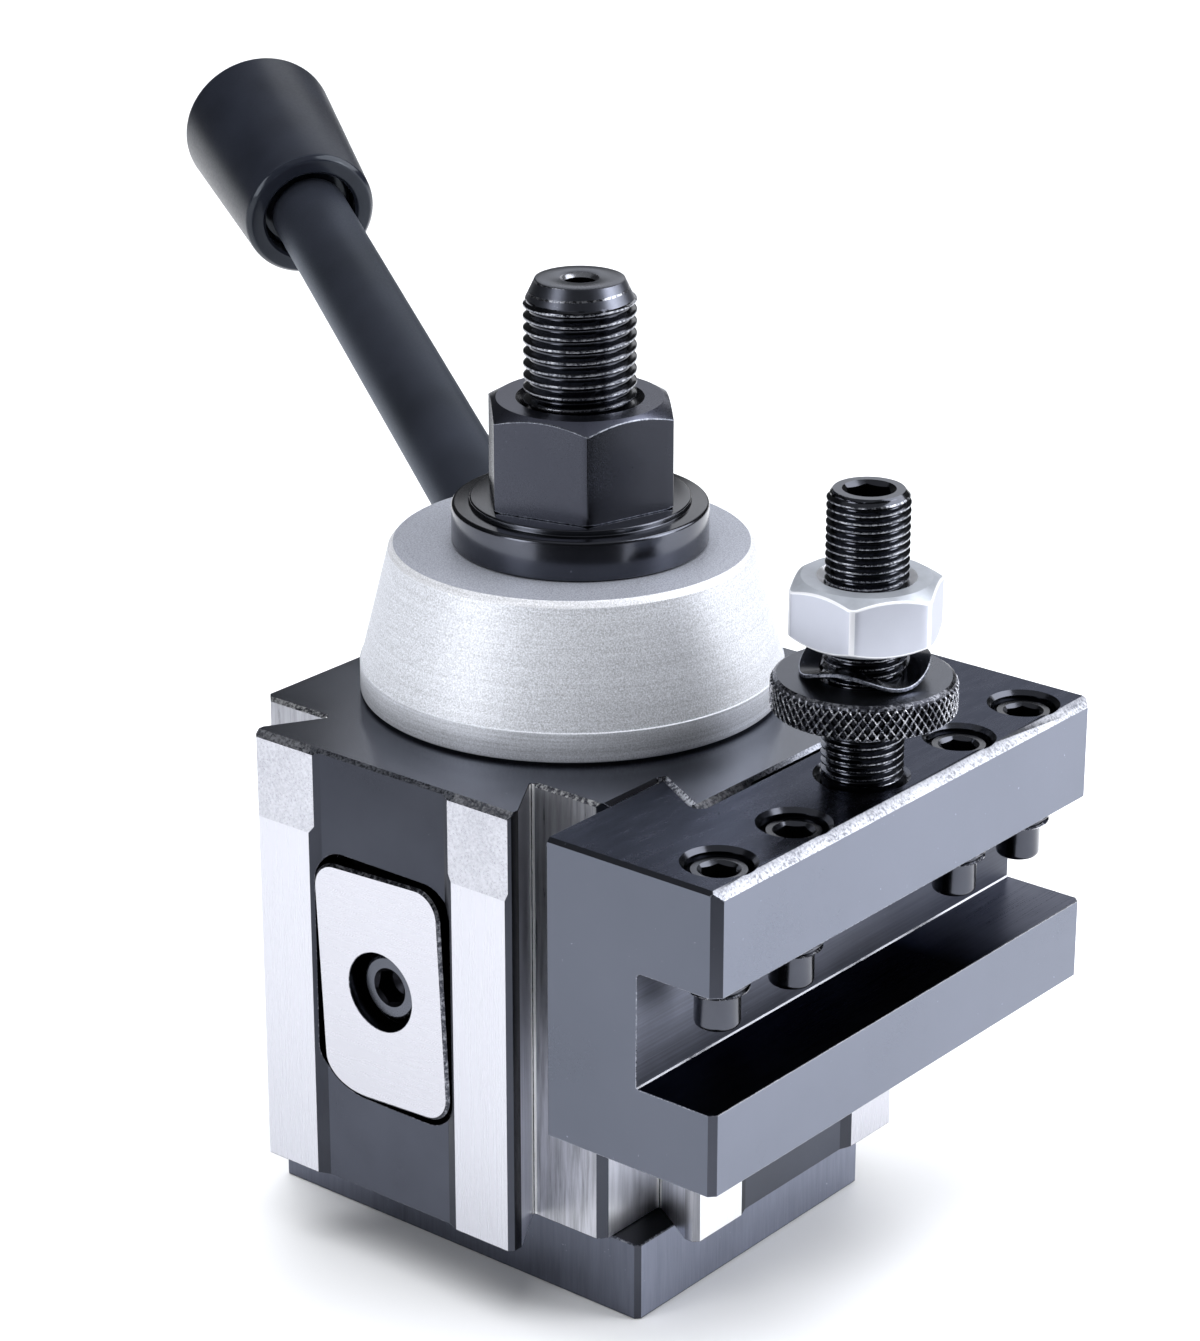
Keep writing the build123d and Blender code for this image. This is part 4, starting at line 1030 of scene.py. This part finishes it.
# ===================================================== stud, washer, nut, head
def centre_set():
    r, root, pitch, top = 7.0, 6.18, 1.5, 121.87
    th = turns(120)
    one = np.ones_like(th)
    lim = lambda z: np.where(z > 119.35, 6.72 - (z - 119.35) * (6.72 - 5.55) / (top - 0.06 - 119.35), r)
    fade = lambda z: np.clip((119.7 - z) / 1.0, 0.0, 1.0)
    R, Z = thread_rows(r, root, 89.2, top - 0.06, pitch, 120, 12, lim, fade)
    low = [(0.02, 2.4), (6.2, 2.4), (7.0, 3.2), (7.0, 89.1)]
    end = [(5.4, top), (2.45, top), (2.2, top - 0.12), (1.9, top - 0.5), (1.9, top - 7), (0.02, top - 8)]
    allR = np.array([a * one for a, _ in low] + list(R) + [a * one for a, _ in end])
    allZ = np.array([b * one for _, b in low] + list(Z) + [b * one for _, b in end])
    k = len(allR)
    # crest bands take the bright speckle, partly wear and partly a painted highlight
    crest = [4 if i % 12 in (11, 0) and i < len(R) - 14 else 0 for i in range(len(R) - 1)]
    ids = [0] * 4 + crest
    me = strip_mesh("clamp_stud", allR, allZ, th, SX, SY, mats=ids + [0] * (k - 1 - 5 - len(ids)) + [1, 2, 2, 0, 0])
    set_faces(me, 0, lambda c, n: 3 if c.z > 119.45 and math.hypot(c.x - SX, c.y - SY) > 5.3 else None)
    place("clamp_stud", me, [M_thread, M_stud_top, M_line, M_stud_cone, M_thread_wear_and_glint], "stud", ["centre_stud"], angle=32)

    me = nut_mesh("stud_nut", 22.0, 94.13, 106.8, 7.06, 13.7, SX, SY, 10.4, 12.35, 0.9, slope=30, corner_r=0.22, ids=(0, 3, 0, 1, 3),
                  soft=0.12, corner=0)
    # painted shade: the flats turned towards the view's right (+X, +Y) take the darker copy
    set_faces(me, 0, lambda c, n: 2 if abs(n.z) < 0.2 and n.x * 0.774 + n.y * 0.633 > 0.15 and math.hypot(c.x - SX, c.y - SY) > 10.5 else None)
    place("hex_nut", me, [M_nut, M_hold_soft, M_nut_dark, M_nut_top], "clamp_nut", ["stud_nut"], angle=28)

    prof = [(7.4, 88.34), (16.06, 88.34), (16.06, 93.36), (13.8, 93.36), (13.8, 94.1), (7.4, 94.1), (7.4, 88.34)]
    v, f, ids = lathe(prof, 160, SX, SY, radii=[0, 0.3, 0.45, 0.12, 0.22, 0.1, 0], mats=[0] * 6, steps=4)
    place("thick_washer", new_mesh("thick_washer", v, f, ids), [M_gloss], "washer", ["stud_washer"], angle=28)

    # head
    prof = [(10.56, 70.6), (15.5, 70.6), (15.5, 69.0), (26.73, 69.0), (26.73, 72.85), (26.55, 72.95), (22.95, 87.49), (22.3, 88.24),
            (11.0, 88.24), (10.56, 87.8), (10.56, 70.6)]
    v, f, ids = lathe(prof, 256, radii=[0, 0, 0, 0.4, 0.08, 0, 0.12, 0.1, 0, 0, 0], mats=[0, 0, 0, 2, 2, 0, 4, 3, 3, 0], steps=3)
    me = new_mesh("head", v, f, ids)
    hole = cylinder("tool", 0, 0, 0, 72, 1, rings=[(5.0, 13.0), (5.0, 20.0), (5.72, 20.0), (5.72, 40.0)], matrix=screw_axis_matrix())
    base, tools = cut(me, [hole], [M_head, M_bore, M_head_band, M_head_top, M_head_rim])
    me = bake(base, tools, angle=26)
    place("blasted_head", me, [M_head], "lever", ["clamp_head"])

    # handle
    mat = screw_axis_matrix()
    prof = [(0.02, 13.4), (4.4, 13.4), (5.0, 14.0), (5.0, 20.0), (5.7, 20.0), (5.7, 119.2), (5.0, 119.9), (4.0, 119.9), (4.0, 131.0), (0.02, 131.6)]
    v, f, ids = lathe(prof, 96, radii=[0, 0, 0, 0, 0.1, 0.6, 0.3, 0, 0.3, 0], mats=[0] * 9, cap_first=True, cap_last=True)
    place("rod", new_mesh("rod", v, f, ids), [M_handle], "lever", ["handle_rod"], angle=30, matrix=mat)
    prof = [(4.05, 121.8), (6.9, 121.8), (6.95, 118.35), (7.35, 118.0), (9.2, 118.0), (9.85, 118.7), (11.65, 148.6), (5.9, 149.2), (0.02, 149.45)]
    v, f, ids = lathe(prof, 128, radii=[0, 0.6, 0, 0.3, 0.55, 0.9, 2.0, 0, 0], mats=[1, 1, 1, 1, 1, 0, 0, 0], cap_last=True, steps=7)
    place("grip_knob", new_mesh("grip_knob", v, f, ids), [M_knob, M_knob_mouth], "lever", ["handle_knob"], angle=30, matrix=mat)


def t_nut():
    x0, x1, y0, y1, k = -28.3, 31.5, -25.6, 20.7, 0.62
    o = [(x0 + k, y0), (x1 - k, y0), (x1, y0 + k), (x1, y1 - k), (x1 - k, y1), (x0 + k, y1), (x0, y1 - k), (x0, y0 + k)]
    mats = [M_tnut, M_facet, M_edge_dark, M_bore, M_tnut_side, M_shade_black]
    # the ±X faces (id 4) take the brighter painted-light copy
    me = prism_mesh("tnut", o, 0.0, 10.47, [0, 1, 4, 1, 0, 1, 4, 1], 0, 0)
    hole = cylinder("tool", 7.0, 2.2, 12.0, 72, 3, cx=SX, cy=SY)
    base, tools = cut(me, [hole], mats)
    me = bake(base, tools, bevel=0.22, bevel_mat=2, limit=50.0)
    # painted shade: the T-nut's top faces take the near-black material, the shade under the post and the holder
    set_faces(me, 0, lambda c, n: 5 if n.z > 0.9 else None)
    place("slot_nut", me, mats, "stud", ["t_nut"])


post_body()
pads()
tool_holder()
tool_screws()
height_set()
centre_set()
t_nut()

# hidden parts keep the CAD meshes and take a turned or drawn steel finish
for name, mat in (("centre_bushing", M_inner), ("cam_sleeve", M_inner), ("head_pins", M_inner), ("retaining_ring", M_spring),
                  ("front_piston", M_inner), ("side_piston", M_inner), ("front_spring", M_spring), ("side_spring", M_spring)):
    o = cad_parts[name]
    o.data.materials.clear()
    o.data.materials.append(mat)

# ============================================================ floor and light
scene = bpy.context.scene
fm = Mat("floor_white", (0.86, 0.865, 0.875), 0.7, 0.0)
fm.color(fm.mix(fm.noise(fm.coord(), 9.0, 2, 0.5), (0.855, 0.86, 0.87), (0.875, 0.88, 0.89)))
bpy.ops.mesh.primitive_plane_add(size=8.0, location=(0, 0, -0.00005))
floor = bpy.context.object
floor.name = "floor"
floor.data.materials.append(fm.m)

world = bpy.data.worlds.new("studio")
scene.world = world
world.use_nodes = True
bg = world.node_tree.nodes["Background"]
bg.inputs["Color"].default_value = (0.93, 0.96, 1.0, 1)
bg.inputs["Strength"].default_value = 0.055


def softbox(name, loc, aim, sx, sy, watts, color=(0.97, 0.98, 1.0)):
    li = bpy.data.lights.new(name, "AREA")
    li.shape, li.size, li.size_y, li.energy, li.color = "RECTANGLE", sx, sy, watts, color
    ob = bpy.data.objects.new(name, li)
    scene.collection.objects.link(ob)
    ob.location = loc
    ob.rotation_mode = "QUATERNION"
    ob.rotation_quaternion = (Vector(loc) - Vector(aim)).to_track_quat("Z", "Y")
    return ob


top_light = softbox("overhead", (-0.1, -0.2, 1.3), (0, 0, 0.0), 1.5, 1.5, 28.0)
top_light.visible_glossy = False
softbox("right_back", (0.55, 0.55, 0.62), (0.16, 0.20, 0.0), 0.85, 0.85, 9.7)
softbox("right", (0.80, 0.41, 0.34), (0, 0, 0.07), 0.40, 0.55, 3.35)
softbox("left", (-0.26, -0.86, 0.34), (0, 0, 0.07), 0.36, 0.55, 3.3)
far_light = softbox("far_floor", (-0.70, 0.95, 1.0), (-0.60, 0.80, 0.0), 1.1, 1.1, 9.0)
far_light.visible_glossy = False
ceiling = softbox("ceiling", (0.0, 0.0, 1.6), (0, 0, 0), 2.6, 2.6, 6.4)
ceiling.visible_diffuse = False

# small cards behind, seen in the top faces
behind, leftward = Vector((-0.206, 0.252, 0)), Vector((-0.774, -0.633, 0))
for name, along, z, w, h, watts in (("card_high", -0.045, 0.269, 0.21, 0.122, 0.085), ("card_low", -0.094, 0.179, 0.112, 0.058, 0.0185)):
    spot = behind + leftward * along + Vector((0, 0, z))
    softbox(name, spot, (0.02, 0.0, 0.085), w, h, watts)

# a dim sheet on the table in front, seen only in reflections
a0 = math.atan2(-math.cos(math.radians(39.265)), math.sin(math.radians(39.265)))
fan = [(rad * math.cos(a0 + math.radians(q)), rad * math.sin(a0 + math.radians(q)), 0.0006)
       for rad, qs in ((0.20, range(-38, 39, 4)), (1.6, range(38, -39, -4))) for q in qs]
sheet_mesh = bpy.data.meshes.new("dim_sheet")
sheet_mesh.from_pydata(fan, [], [tuple(range(len(fan)))])
sheet = bpy.data.objects.new("dim_sheet", sheet_mesh)
scene.collection.objects.link(sheet)
sm = Mat("sheet_dim", (0.16, 0.165, 0.18), 0.8, 0.0)
sm.color(sm.mix(sm.noise(sm.coord(), 12.0, 2, 0.5), (0.028, 0.029, 0.033), (0.038, 0.039, 0.044)))
sheet_mesh.materials.append(sm.m)
sheet.visible_camera = sheet.visible_diffuse = sheet.visible_shadow = sheet.visible_transmission = False

# ===================================================================== camera
AZ, EL, DIST = math.radians(39.265), math.radians(21.383), 0.4998
right = Vector((math.cos(AZ), math.sin(AZ), 0))
back = Vector((math.sin(AZ) * math.cos(EL), -math.cos(AZ) * math.cos(EL), math.sin(EL)))
up = Vector((-math.sin(AZ) * math.sin(EL), math.cos(AZ) * math.sin(EL), math.cos(EL)))
target = Vector((0, 0, 0.045)) + right * 0.003502 + up * 0.023838
cd = bpy.data.cameras.new("camera")
cd.lens, cd.sensor_width, cd.sensor_fit = 104.31, 36.0, "AUTO"
cd.clip_start, cd.clip_end = 0.02, 30.0
cam = bpy.data.objects.new("camera", cd)
scene.collection.objects.link(cam)
rot = Matrix((right, up, back)).transposed().to_4x4()
cam.matrix_world = Matrix.Translation(target + back * DIST) @ rot
scene.camera = cam

scene.view_settings.view_transform = "Standard"
scene.view_settings.look = "None"
scene.view_settings.exposure = 0.0
scene.view_settings.gamma = 1.0
